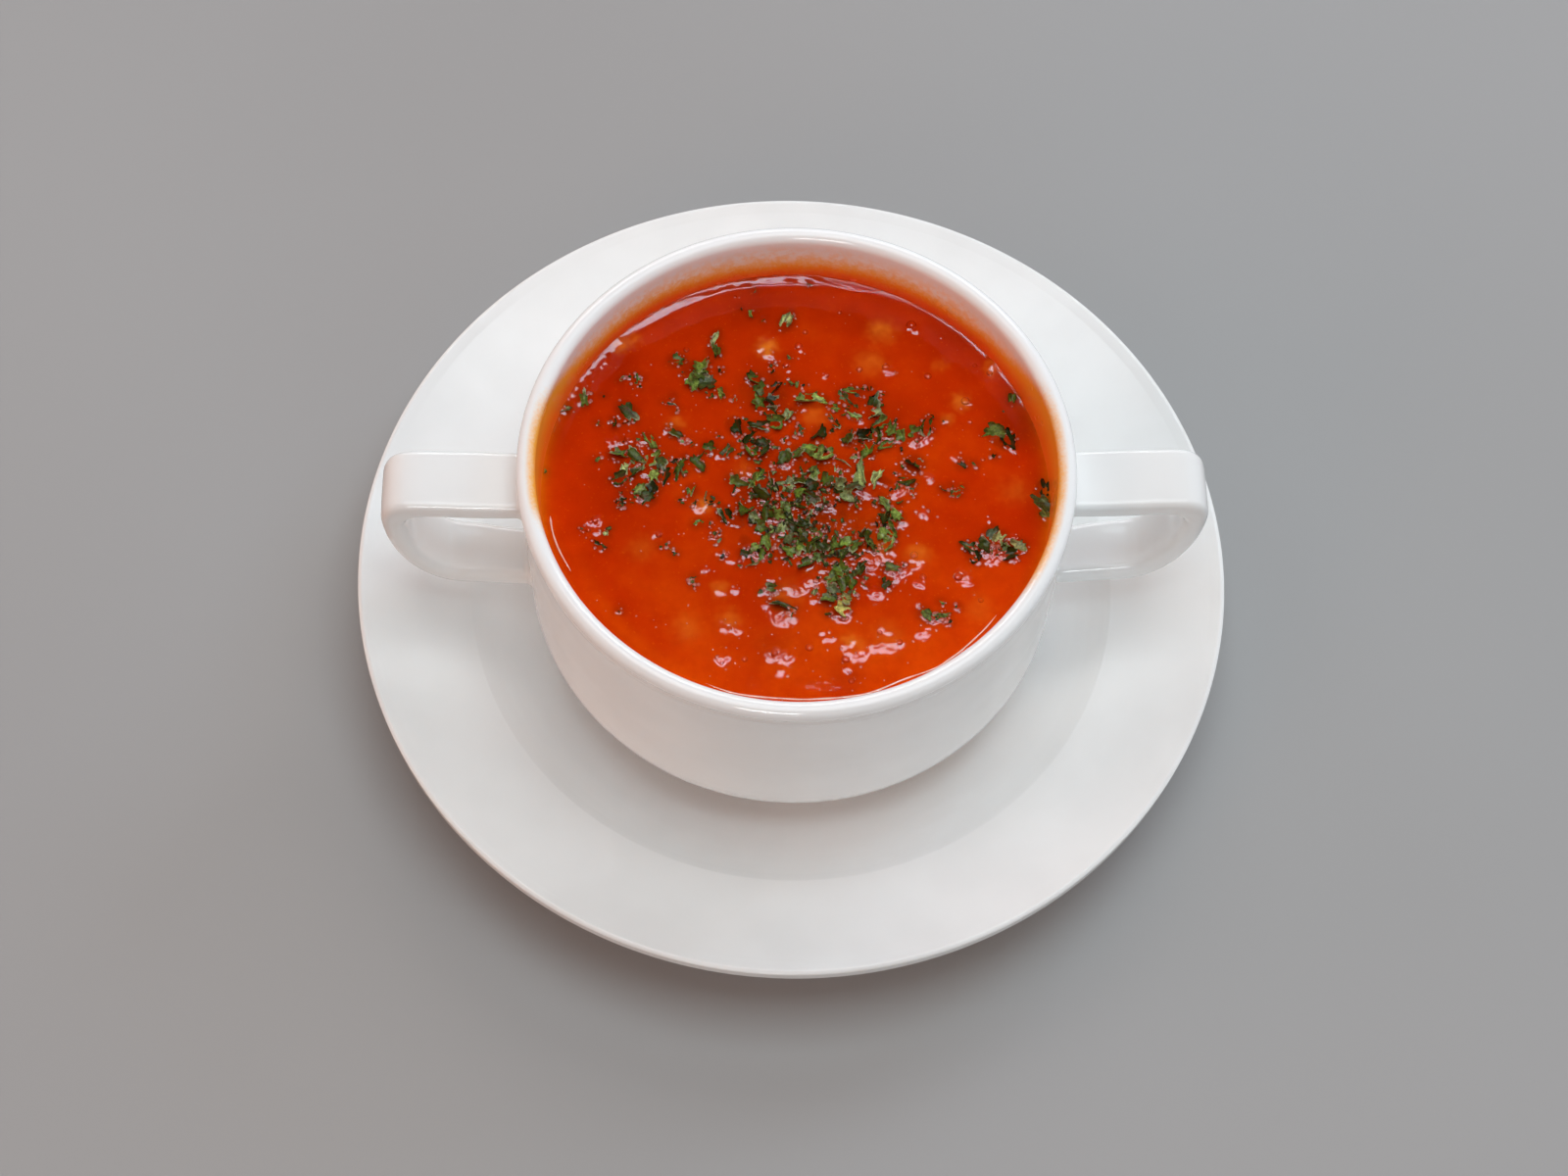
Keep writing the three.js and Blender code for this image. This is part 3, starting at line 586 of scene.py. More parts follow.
def make_relief():
    x, y = GX, GY
    r, phi = np.hypot(x, y), np.arctan2(y, x)
    h = 0.06 * noise2(x / 11 + 3, y / 11, 1) + 0.03 * noise2(x / 4.2, y / 4.2 + 7, 2)
    # where it climbs the wall: a broad collar at the back and the left, a narrow one at the right
    turn_ = np.mod(phi, 2 * np.pi)
    left = smooth((turn_ - 1.05) / 0.5) * smooth((3.5 - turn_) / 0.8)
    depth = SOUP_R - r
    wide = 0.65 + (0.95 + 0.25 * np.exp(-((turn_ - 1.75) / 0.5) ** 2)) * left + (0.25 + 0.25 * left) * noise2(x / 4.5, y / 4.5, 16) + 0.16 * noise2(x / 1.3, y / 1.3, 17)
    fall = (wide - depth) / 0.13
    h += (0.17 + 0.03 * left + 0.22 * np.exp(-((turn_ - 1.5) / 0.42) ** 2)) * 0.13 * np.where(fall > 20, fall, np.log1p(np.exp(np.minimum(fall, 20)))) + 0.12 * np.exp(-depth / 0.3)
    # bits under the skin
    for px, py, across, high, _ in BITS:
        c, a, b, t = placed((px, py, across, across * 0.9, 0), SOUP_Z)
        w = window(c, 3.2 * a)
        d = np.hypot(x[w] - c[0], y[w] - c[1]) / a
        h[w] += 0.5 * high * np.exp(-(d ** 2) * 1.4) * (1 + 0.6 * noise2(x[w] / 1.5, y[w] / 1.5, 5))
    # the skin's tilts
    for e in TILTS:
        c, a, b, t = placed(e, SOUP_Z)
        w = window(c, 4 * a + 3)
        dx, dy = x[w] - c[0], y[w] - c[1]
        wob = 1.1 * b * noise2(x[w] / 1.1, y[w] / 1.1, 9) + 0.75 * b * noise2(x[w] / 0.42, y[w] / 0.42, 8)
        s = max(0.80 * b, 0.36)
        u = (dx * math.cos(t) + dy * math.sin(t)) / max(a * 1.0, 0.44) + 0.5 * noise2(x[w] / 1.4, y[w] / 1.4, 10)
        across = -dx * math.sin(t) + dy * math.cos(t)
        if math.cos(t) < 0:
            across = -across
        g = np.exp(-u ** 4 * 0.8) * np.exp(-((across + wob - s) ** 2) / (2 * s * s))
        h[w] += 0.37 * s * g * (1 + 0.9 * noise2(x[w] / 0.8, y[w] / 0.8, 15))
    # the skin climbs to what floats in it, and is rougher there
    climb, near = np.zeros_like(h), np.zeros_like(h)
    for c, a, b, t in flakes + crumbs:
        w = window(c, a + 3.0)
        dx, dy = x[w] - c[0], y[w] - c[1]
        u, v = dx * math.cos(t) + dy * math.sin(t), -dx * math.sin(t) + dy * math.cos(t)
        k = np.hypot(u / (a * 0.9), v / (b * 0.9))
        d = np.maximum(k - 1, 0) * np.hypot(u, v) / np.maximum(k, 1e-6)
        size = 0.04 + 0.05 * min(1.0, b / 1.2)
        climb[w] = np.maximum(climb[w], size * np.exp(-d / 0.40))
        near[w] = np.maximum(near[w], min(1.0, 0.4 + a / 2) * np.exp(-(d / 0.95) ** 2))
    h += climb * (0.8 + 0.8 * noise2(x / 0.6, y / 0.6, 12))
    h += 0.038 * near * noise2(x / 0.55, y / 0.55, 13) + 0.025 * near * noise2(x / 1.5, y / 1.5, 14)
    # faint drying lines near the wall
    for rad, a0, a1, high, wide in ((41.2, 160, 200, 0.025, 0.4), (43.3, 158, 176, 0.03, 0.4), (43.2, -60, -38, 0.03, 0.4), (44.2, 2, 24, 0.04, 0.35)):
        p = (np.degrees(phi) % 360 - (a0 + a1) / 2 + 180) % 360 - 180
        h += high * np.exp(-((r - rad) / wide) ** 2) * smooth(((a1 - a0) / 2 - np.abs(p)) / 6)
    # the collar's second crest at the back right
    p0, p1 = at(828, 287, SOUP_Z)[:2], at(905, 304, SOUP_Z)[:2]
    d = (p1 - p0) / np.linalg.norm(p1 - p0)
    u, v = (x - p0[0]) * d[0] + (y - p0[1]) * d[1], -(x - p0[0]) * d[1] + (y - p0[1]) * d[0]
    along = smooth((u + 1) / 3) * smooth((17 - u) / 9)
    h += 0.15 * along * np.maximum(0, 1 - np.abs(v - 0.5 - 0.010 * (u - 7) ** 2) / (0.25 + 0.32 * along))
    # fine pulp
    h += 0.010 * noise2(x / 0.9, y / 0.9, 21) * (0.6 + noise2(x / 8, y / 8, 22))
    return h, near


RELIEF, NEAR = make_relief()


def relief(x, y):
    """Height of the soup over its level, in mm."""
    u, v = (np.asarray(x, float) + 47.0) / STEP, (np.asarray(y, float) + 47.0) / STEP
    i, j = np.clip(u.astype(int), 0, len(axis) - 2), np.clip(v.astype(int), 0, len(axis) - 2)
    u, v = u - i, v - j
    return (RELIEF[i, j] * (1 - u) + RELIEF[i + 1, j] * u) * (1 - v) + (RELIEF[i, j + 1] * (1 - u) + RELIEF[i + 1, j + 1] * u) * v


def shade_near(x, y):
    """1 beside the herbs, 0 away from them."""
    i, j = (np.clip(np.round((np.asarray(k, float) + 47.0) / STEP).astype(int), 0, len(axis) - 1) for k in (x, y))
    return NEAR[i, j]


def soup_tint(x, y):
    """Colour of the soup, linear RGB."""
    n1 = noise2(x / 13 + 1, y / 13, 31) + 0.5 * noise2(x / 5, y / 5, 32)
    n2 = noise2(x / 3.0, y / 3.0, 33) + 0.5 * noise2(x / 1.3, y / 1.3, 34)
    deep, mid, pale = (np.array(rgb(*c)[:3]) for c in ((168, 33, 0), (200, 50, 1), (224, 76, 4)))
    # redder and darker towards the back and the wall, more orange in the middle and the front
    t = 0.56 - np.where(y < 0, 0.0060, 0.0032) * y + 0.11 * smooth((x - 5) / 25) + 0.34 * n1 - 0.0045 * np.abs(x - 3) + 0.07 * n2
    t = np.clip(t, 0, 1)[:, None]
    col = np.where(t < 0.5, deep + (mid - deep) * (t * 2), mid + (pale - mid) * (t * 2 - 1))
    for px, py, across, _, show in BITS:
        c, a, b, _t = placed((px, py, across, across * 0.9, 0), SOUP_Z)
        d = np.hypot(x - c[0] + 1.1 * noise2(x / 1.4, y / 1.4, 35), y - c[1] + 1.1 * noise2(x / 1.4, y / 1.4, 36)) / (0.82 * a)
        w = np.clip(show * 0.80 * np.exp(-d ** 2.4 * 1.3) * (1 + 0.7 * n2), 0, 0.9)[:, None]
        col = col * (1 - w) + np.array(rgb(240, 132, 36)[:3]) * w
    # browner where the herbs have steeped, partly painted shadow (the term along the back wall is weighted zero), and
    # painted shade beside the herbs
    r, phi = np.hypot(x, y), np.arctan2(y, x)
    brown_and_shade = 0.0 * r * smooth((np.sin(phi) - 0.35) / 0.4) * (0.8 + 0.6 * n1)
    for px, py, across, show in STEEPED_AND_SHADED:
        c, a, b, _t = placed((px, py, across, across * 0.8, 0), SOUP_Z)
        d = np.hypot(x - c[0] + 0.9 * noise2(x / 2.5, y / 2.5, 37), y - c[1] + 0.9 * noise2(x / 2.5, y / 2.5, 38)) / a
        brown_and_shade = np.maximum(brown_and_shade, show * np.exp(-d ** 2 * 1.2) * (1 + 0.5 * n2))
    # painted shade: the soup is darkened beside the herbs
    brown_and_shade = np.maximum(brown_and_shade, 0.50 * shade_near(x, y))
    brown_and_shade = np.clip(brown_and_shade, 0, 0.75)[:, None]
    col = col * (1 - brown_and_shade) + np.array(rgb(112, 30, 2)[:3]) * brown_and_shade
    # at the wall the layer is thin over white and turns orange
    edge = (np.exp(-(SOUP_R - r) / 1.0) * (0.10 + 0.60 * smooth((0.6 - np.sin(phi)) / 0.7)))[:, None]
    col = col * (1 - edge) + np.array(rgb(236, 128, 12)[:3]) * edge
    # and lighter where it lies thin at the front left
    ring = (0.30 * np.exp(-((SOUP_R - r - 4.6) / 1.8) ** 2) * np.clip(1 - np.abs(np.mod(phi, 2 * np.pi) - 3.95) / 0.65, 0, 1))[:, None]
    col = col * (1 - ring) + np.array(rgb(238, 104, 4)[:3]) * ring
    return np.clip(col, 0, 1)


def soup_mesh():
    inner = 0.735 * RINGS
    where = [36.2 * i / inner if i < inner else 36.2 + (SOUP_R - 36.2) * (i - inner) / (RINGS - inner) for i in range(RINGS + 1)]
    xs, ys, start = [0.0], [0.0], [0]
    for i in range(1, RINGS + 1):
        n = 6 * i
        start.append(len(xs))
        a = np.arange(n) / n * 2 * np.pi
        xs.extend(where[i] * np.cos(a))
        ys.extend(where[i] * np.sin(a))
    x, y = np.array(xs), np.array(ys)
    faces = []
    for i in range(1, RINGS + 1):
        inner_n, outer_n = max(6 * (i - 1), 1), 6 * i
        for side in range(6):
            for k in range(i):
                o0 = start[i] + (side * i + k) % outer_n
                o1 = start[i] + (side * i + k + 1) % outer_n
                i0 = start[i - 1] + ((side * (i - 1) + k) % inner_n if i > 1 else 0)
                faces.append([i0, o0, o1])
                if k < i - 1:
                    i1 = start[i - 1] + (side * (i - 1) + k + 1) % inner_n
                    faces.append([i0, o1, i1])
    z = SOUP_Z + relief(x, y)
    tint = soup_tint(x, y)
    verts = [np.column_stack([x, y, z])]
    tints = [tint]
    # down the wall and across the floor, hidden in the cup
    n = 6 * RINGS
    a = np.arange(n) / n * 2 * np.pi
    prev = np.arange(start[RINGS], start[RINGS] + n)
    base = len(x)
    low = [(INNER_LEVEL_R + 0.1, SOUP_Z - 2.0), (INNER_LEVEL_R - 0.3, 36.0), (INNER_LEVEL_R - 0.4, 26.0)]
    low += arc(INNER_LEVEL_R - 0.55 - INNER_HEEL_R, INNER_HEEL_Z, INNER_HEEL_R + 0.1, INNER_HEEL_R + 0.1, -25, -90, 3)
    rim_col = np.array(rgb(205, 60, 4)[:3])
    step = 1
    for r, zz in low:
        ring = np.arange(base, base + n)
        verts.append(np.column_stack([r * np.cos(a), r * np.sin(a), np.full(n, zz)]))
        tints.append(np.tile(rim_col, (n, 1)))
        nxt, prv = np.roll(ring, -1), np.roll(prev, -1)
        faces.extend(np.column_stack([prev, ring, nxt, prv]).tolist())
        prev, base = ring, base + n
    faces.append(prev[::-1].tolist())
    return np.vstack(verts), faces, np.vstack(tints)


def soup_material():
    m = Nodes("tomato_soup_wet")
    co = m.coord()
    tint = m.nt.nodes.new("ShaderNodeAttribute")
    tint.attribute_name = "tint"
    pulp = m.noise(co, 420, 4.0, 0.6)
    fine = m.noise(co, 1500, 2.0)
    base = m.mix(m.ramp(pulp, 0.38, 0.66, 0.0, 0.16), tint.outputs["Color"], rgb(176, 34, 0))
    base = m.mix(m.ramp(fine, 0.62, 0.78, 0.0, 0.22), base, rgb(236, 112, 24))
    m.put(m.bsdf.inputs["Base Color"], base)
    m.put(m.bsdf.inputs["Roughness"], m.ramp(m.noise(co, 200, 2.0), 0.3, 0.7, 0.02, 0.05))
    m.bsdf.inputs["IOR"].default_value = 1.22
    m.bsdf.inputs["Specular Tint"].default_value = (0.74, 0.88, 1.0, 1.0)
    m.bsdf.inputs["Subsurface Weight"].default_value = 0.15
    m.bsdf.inputs["Subsurface Radius"].default_value = (1.0, 0.22, 0.08)
    m.bsdf.inputs["Subsurface Scale"].default_value = 0.0015
    m.bump(pulp, 0.00003)
    return m.mat


soup_mat = soup_material()
sv, sf, sc = soup_mesh()
soup = make_mesh("tomato_soup_surface", sv, sf, soup_mat, colours=sc)
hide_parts("tomato_soup")
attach(soup, "root")


def soup_z(c):
    return SOUP_Z + float(relief(np.array([c[0]]), np.array([c[1]]))[0])


# ------------------------------------------------------------------ bubbles and beads of oil
def dome(seg, rows, cap):
    """A cap of a ball that spans cap degrees from its top, 1 in radius at the edge, which is a little under the surface."""
    v, f = [(0, 0, 1.0)], []
    for k in range(1, rows + 1):
        t = math.radians(cap * k / rows)
        for s in range(seg):
            a = 2 * math.pi * s / seg
            v.append((math.sin(t) * math.cos(a), math.sin(t) * math.sin(a), math.cos(t)))
    for s in range(seg):
        f.append([0, 1 + s, 1 + (s + 1) % seg])
    for k in range(rows - 1):
        for s in range(seg):
            a, b = 1 + k * seg + s, 1 + k * seg + (s + 1) % seg
            f.append([a, a + seg, b + seg, b])
    base = 1 + (rows - 1) * seg
    f.append([base + s for s in range(seg)][::-1])
    v = np.array(v)
    v[:, 2] -= math.cos(math.radians(cap))
    return v / math.sin(math.radians(cap)), f


beads = []
for px, py, r in BUBBLES:
    beads.append((*at(px, py, SOUP_Z + 0.3)[:2], r, 1.0, "bubble"))
for c, a, b, t in flakes + crumbs:
    for _ in range(rng.poisson((4.2 if a > 0.9 else 1.8) * (1 - 0.1 * in_heap(c)))):
        k = rng.uniform(0, 2 * math.pi)
        gap = abs(rng.normal(0.12, 0.30))
        ca, sa = math.cos(t), math.sin(t)
        u, w = (a + gap) * math.cos(k), (b + gap) * math.sin(k)
        x, y = c[0] + u * ca - w * sa, c[1] + u * sa + w * ca
        if math.hypot(x, y) < 44.5:
            beads.append((x, y, float(np.clip(rng.lognormal(-1.10, 0.34), 0.16, 0.58)), rng.uniform(0.75, 1.25), "bead"))
for e in TILTS:
    c, a, b, t = placed(e, SOUP_Z)
    for _ in range(rng.poisson(2.0)):
        x, y = c + rng.normal(0, 1, 2) * (a + 0.5)
        if math.hypot(x, y) < 44.5:
            beads.append((x, y, float(np.clip(rng.lognormal(-1.3, 0.35), 0.14, 0.5)), rng.uniform(0.75, 1.25), "bead"))
for _ in range(140):
    a, q = rng.uniform(0, 2 * math.pi), 43 * math.sqrt(rng.uniform(0, 1))
    beads.append((q * math.cos(a), q * math.sin(a), rng.uniform(0.12, 0.28), rng.uniform(0.75, 1.25), "bead"))
bz = SOUP_Z + relief(np.array([b[0] for b in beads]), np.array([b[1] for b in beads]))
domes = {"bubble": dome(18, 6, 46), "bead": dome(8, 3, 25)}
rows_out = {"bubble": 6, "bead": 3}
vs, fs, shade, pale, n = [], [], [], [], 0
for (x, y, r, flat, kind), z in zip(beads, bz):
    v, f = domes[kind]
    spin = rng.uniform(0, 1)
    ca, sa = math.cos(spin), math.sin(spin)
    w = np.column_stack([(v[:, 0] * ca - v[:, 1] * sa) * r, (v[:, 0] * sa + v[:, 1] * ca) * r, v[:, 2] * r * flat])
    w = w + (x, y, z - 0.06 * r)
    vs.append(w)
    fs += [[k + n for k in face] for face in f]
    # painted shade: a darker ring round the edge of each bubble and bead
    shade.append(1 - (0.35 if kind == "bubble" else 0.45) * smooth((np.hypot(v[:, 0], v[:, 1]) - 0.6) / 0.4))
    # painted highlight: the top of each bead is painted pale
    pale.append(0.16 * np.clip(v[:, 2] / v[:, 2].max(), 0, 1) if kind == "bead" else np.zeros(len(v)))
    n += len(w)


def skin_line(points, width, high, crest_highlight):
    """A thin ridge of drying skin along the points, tapering to both ends, its colour lifted a little and a painted
    highlight along its crest.
    """
    global n
    path = spline(points, 14)
    t = np.linspace(0, 1, len(path))
    d = np.gradient(path, axis=0)
    side = np.column_stack([-d[:, 1], d[:, 0]]) / np.linalg.norm(d, axis=1)[:, None]
    taper = np.clip(np.minimum(t, 1 - t) / 0.12, 0.15, 1) * (0.75 + 0.5 * (noise2(path[:, 0] / 2.5, path[:, 1] / 2.5, 51) + 0.5))
    m = 6
    rings = []
    for k in range(m + 1):
        u = -1 + 2 * k / m
        q = path + side * (u * width / 2 * taper)[:, None]
        z = SOUP_Z + relief(q[:, 0], q[:, 1]) - 0.02 + high * taper * (1 - u * u)
        rings.append(np.column_stack([q, z]))
    q = path
    rings.append(np.column_stack([q, SOUP_Z + relief(q[:, 0], q[:, 1]) - 0.10]))
    v = np.stack(rings, 1)                                                # along, round
    c = v.shape[1]
    vs.append(v.reshape(-1, 3))
    # painted light: the ridge is painted a tenth lighter than the soup
    shade.append(np.full(v.shape[0] * c, 1.1))
    crest = np.clip(1 - (np.abs(np.arange(c) - m / 2) / (m * 0.40)) ** 2, 0, 1)
    # painted highlight: the crest is painted pale
    pale.append((crest_highlight * np.clip(0.35 + taper, 0, 1)[:, None] * crest[None, :]).ravel())
    for i in range(v.shape[0] - 1):
        for k in range(c):
            j = (k + 1) % c
            fs.append([n + i * c + k, n + i * c + j, n + (i + 1) * c + j, n + (i + 1) * c + k][::-1])
    fs.append([n + k for k in range(c)][::-1])
    fs.append([n + (v.shape[0] - 1) * c + k for k in range(c)])
    n += v.shape[0] * c


def seen_at(points):
    return [tuple(map(float, at(px, py, SOUP_Z + 0.15)[:2])) for px, py in points]


skin_line(seen_at([(561, 524), (564, 543), (571, 562), (584, 585)]), 0.46, 0.07, 0.80)
skin_line(seen_at([(698, 688), (739, 704), (765, 709.5), (800, 712.5), (830, 713), (882, 708), (922, 693), (953, 682), (968, 673), (985, 660), (1008, 638), (1030, 610)]), 0.44, 0.05, 0.85)
skin_line(seen_at([(592, 448), (588, 480), (588, 512), (592, 536)]), 0.36, 0.012, 0.04)
skin_line(seen_at([(598, 574), (620, 604), (650, 634), (690, 662)]), 0.36, 0.012, 0.04)
skin_line(seen_at([(1048, 410), (1056, 440), (1060, 470)]), 0.34, 0.02, 0.08)
skin_line(seen_at([(1000, 640), (1022, 616), (1040, 588)]), 0.34, 0.015, 0.06)
vs = np.vstack(vs)
pale = np.concatenate(pale)[:, None]
# the soup's colour times the painted shade, mixed towards a painted highlight colour by pale
bubbles = make_mesh("soup_bubbles", vs, fs, soup_mat, colours=soup_tint(vs[:, 0], vs[:, 1]) * np.concatenate(shade)[:, None] * (1 - pale) + np.array(rgb(255, 226, 206)[:3]) * pale)
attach(bubbles, "root")

# ------------------------------------------------------------------ parsley
GREENS = [rgb(*c) for c in ((140, 158, 76), (118, 140, 58), (96, 118, 40), (178, 190, 122), (72, 86, 20), (130, 150, 66), (108, 128, 50), (54, 56, 8))]


def leaf(n, lobes, rag, seed):
    """A torn piece of leaf in the unit square: an (n x n) grid spread over a lobed outline, and its edge weight."""
    g = np.linspace(-1, 1, n)
    u, v = np.meshgrid(g, g, indexing="ij")
    x, y = u * np.sqrt(1 - v * v / 2), v * np.sqrt(1 - u * u / 2)
    rad, phi = np.hypot(x, y), np.arctan2(y, x)
    out = 1 + rag * 0.22 * np.cos(lobes * phi + seed) + rag * 0.9 * noise2(np.cos(phi) * 1.8 + seed * 3.1, np.sin(phi) * 1.8 + seed, 40)
    out += rag * 0.35 * noise2(np.cos(phi) * 5 + seed, np.sin(phi) * 5, 41)
    k = 1 + (out - 1) * rad ** 2
    return x * k, y * k, rad


def flake_mesh(c, a, b, t, n, lift, curl, bend, tilt, roll_, seed, tone, thick, edge_highlight=0.0):
    x, y, rad = leaf(n, 2 + seed % 4, 1.0, float(seed % 97) * 0.7)
    # dried leaf curls across its length and bends along it
    flat_b = b * (curl / 2) / math.sin(min(curl / 2, 1.5)) if curl > 0.05 else b
    flat_a = a * 1.06
    s, w = x * flat_a, y * flat_b
    rho = flat_b / max(curl / 2, 1e-3)
    yy = rho * np.sin(w / rho)
    zz = rho * (1 - np.cos(w / rho)) * (1 if seed % 3 else -1)
    rb = flat_a / max(abs(bend) / 2, 1e-3)
    xx = rb * np.sin(s / rb)
    zz = zz + math.copysign(1, bend) * rb * (1 - np.cos(s / rb))
    zz = zz + 0.22 * min(1, b) * noise2(x * 2.2 + seed, y * 2.2, 43) - 0.14 * min(b, 1) * np.exp(-(y / 0.16) ** 2)      # creases and a sunken rib
    yy = yy + 0.16 * b * noise2(x * 1.7, y * 1.7 + seed, 44)
    zz = zz - np.mean(zz)
    # tilt, then turn in plan
    ct, st_ = math.cos(tilt), math.sin(tilt)
    xx, zz = xx * ct - zz * st_, xx * st_ + zz * ct
    cr, sr = math.cos(roll_), math.sin(roll_)
    yy, zz = yy * cr - zz * sr, yy * sr + zz * cr
    ca, sa = math.cos(t), math.sin(t)
    X, Y = c[0] + xx * ca - yy * sa, c[1] + xx * sa + yy * ca
    Z = zz - np.percentile(zz, 12) + lift
    top = np.stack([X, Y, Z], -1)
    du = np.gradient(top, axis=0)
    dv = np.gradient(top, axis=1)
    nrm = np.cross(du, dv)
    nrm /= np.linalg.norm(nrm, axis=-1, keepdims=True) + 1e-12
    half = thick / 2 * (1 - 0.55 * smooth((rad - 0.75) / 0.3))[..., None]
    verts = np.vstack([(top + nrm * half).reshape(-1, 3), (top - nrm * half).reshape(-1, 3)])
    m = n * n
    i, j = np.meshgrid(np.arange(n - 1), np.arange(n - 1), indexing="ij")
    p = (i * n + j).ravel()
    faces = np.column_stack([p, p + n, p + n + 1, p + 1]).tolist() + np.column_stack([m + p, m + p + 1, m + p + n + 1, m + p + n]).tolist()
    border = [j for j in range(n)] + [i * n + n - 1 for i in range(1, n)] + [(n - 1) * n + j for j in range(n - 2, -1, -1)] + [i * n for i in range(n - 2, 0, -1)]
    for p, q in zip(border, border[1:] + border[:1]):
        faces.append([q, p, m + p, m + q])
    vein = np.exp(-(y / 0.13) ** 2) + 0.6 * np.exp(-((np.abs(y) - 0.55 * np.abs(x) - 0.1) / 0.1) ** 2)
    # painted shade: a dark line across each leaf where a crease would lie
    painted_fold_shade = np.exp(-((y - 0.4 * np.sin(2.2 * x + seed) - 0.2) / 0.16) ** 2)
    shade = 1 + 0.80 * noise2(x * 2.0 + seed, y * 2.0, 45) + 0.45 * noise2(x * 7, y * 7 + seed, 46) + 0.30 * np.clip(vein, 0, 1) - 0.60 * painted_fold_shade - 0.20 * smooth((rad - 0.6) / 0.4)
    col = np.clip(shade, 0.25, 1.9)[..., None] * np.asarray(tone[:3])
    # soup has soaked into parts of it
    soak = smooth((noise2(x * 1.9 + seed * 0.7, y * 1.9, 47) + 0.35 * noise2(x * 6, y * 6 + seed, 48) - 0.07) / 0.20) * 0.72
    col = col * (1 - soak[..., None]) + np.array(rgb(90, 38, 10)[:3]) * soak[..., None]
    if edge_highlight > 0:
        # painted highlight: part of a curled edge painted pale
        lit = (edge_highlight * smooth((rad - 0.72) / 0.2) * smooth((np.cos(np.arctan2(y, x) - seed) - 0.2) / 0.5))[..., None]
        col = col * (1 - lit) + np.array(rgb(206, 206, 162)[:3]) * lit
    under = col * (1.10, 1.05, 1.08) + 0.004
    return verts, faces, np.vstack([col.reshape(-1, 3), under.reshape(-1, 3)])


def pieces():
    """Every bit of leaf: centre, half length, half width, turn, grid, tone."""
    out = []
    for i, (c, a, b, t) in enumerate(flakes):
        r = np.random.default_rng(1000 + i)
        px, py = FLAKES[i][0], FLAKES[i][1]
        tone = np.array(GREENS[r.integers(len(GREENS))][:3]) * r.uniform(0.8, 1.2)
        if 850 < px < 873 and 603 < py < 624:
            tone = np.array(rgb(196, 190, 104)[:3])
        if 765 < px < 800 and 385 < py < 425:
            tone = tone * 0.6
        if px > 1055:
            tone = np.array(rgb(120, 140, 66)[:3])
        k = int(np.clip(round(a * b / 2.3), 1, 5))
        if k == 1:
            if in_heap(c) > 0.3 and r.uniform() < 0.36:
                continue
            out.append((c, a * 0.90, b * 0.90, t, 7 if a > 0.7 else 5, tone * r.choice((0.30, 0.65, 1.0, 1.4), p=(0.27, 0.25, 0.28, 0.2)), i))
            continue
        for q in range(k):
            if in_heap(c) > 0.3 and r.uniform() < 0.30:
                continue
            s = ((q + 0.5) / k - 0.5) * 1.5 * a + r.normal(0, 0.12 * a)
            w = r.normal(0, 0.36 * b)
            p = c + np.array([math.cos(t) * s - math.sin(t) * w, math.sin(t) * s + math.cos(t) * w])
            la = a * r.uniform(0.50, 0.89) / (1 + 0.07 * k)
            lb = min(b * r.uniform(0.6, 1.05), la * r.uniform(0.55, 0.95))
            mixed = (tone * 0.5 + 0.5 * np.array(GREENS[r.integers(len(GREENS))][:3])) * r.choice((0.25, 0.48, 0.85, 1.15, 1.45, 1.9), p=(0.17, 0.18, 0.19, 0.18, 0.16, 0.12))
            out.append((p, max(la, 0.45), max(lb, 0.3), t + r.normal(0, 0.7), 8, mixed, 1000 + 10 * i + q))
    for i, (c, a, b, t) in enumerate(crumbs):
        r = np.random.default_rng(5000 + i)
        out.append((c, a, b, t, 4, np.array(GREENS[r.integers(len(GREENS))][:3]) * r.uniform(0.15, 0.75), 5000 + i))
    # a few bits of stalk
    for i, (px, py, ln, deg) in enumerate(((694, 478, 22, 62), (786, 500, 24, 95), (652, 470, 14, 20), (720, 505, 12, 100), (858, 470, 16, 30), (905, 520, 18, 110),
                                           (770, 575, 16, 160), (846, 602, 14, 80), (668, 500, 14, 130), (812, 545, 16, 15))):
        c, a, b, t = placed((px, py, ln, 2.2, deg), SOUP_Z + 0.3)
        out.append((c, a, 0.17, t, 6, np.array(rgb(150, 128, 70)[:3]) * (0.7 + 0.06 * (i % 5)), 9000 + i))
    return out


fv, ff, fc, n = [], [], [], 0
stack = []
everything = sorted(pieces(), key=lambda e: -e[1] * e[2])
for c, a, b, t, grid, tone, seed in everything:
    r = np.random.default_rng(seed)
    heap = in_heap(c)
    below = sum(1 for q in stack if np.hypot(*(q[0] - c)) < 0.6 * (q[1] + b)) if grid > 4 else 0
    lift = soup_z(c) - 0.12 + min(below, 4) * 0.15 + heap * r.uniform(0, 0.45 if grid > 4 else 0.7)
    verts, faces, cols = flake_mesh(c, a, b, t, grid, lift, r.uniform(0.4, 2.4) if b > 0.25 else 0.2, r.uniform(-1.1, 1.1), r.normal(0, 0.15), r.normal(0, 0.26 + 0.16 * heap),
                                    seed, tone, 0.11 if b > 0.25 else 0.2, edge_highlight=0.75 if r.uniform() < 0.42 and grid > 4 else 0.0)
    fv.append(verts)
    fc.append(cols)
    ff += [[k + n for k in face] for face in faces]
    n += len(verts)
    if grid > 4:
        stack.append((c, a))


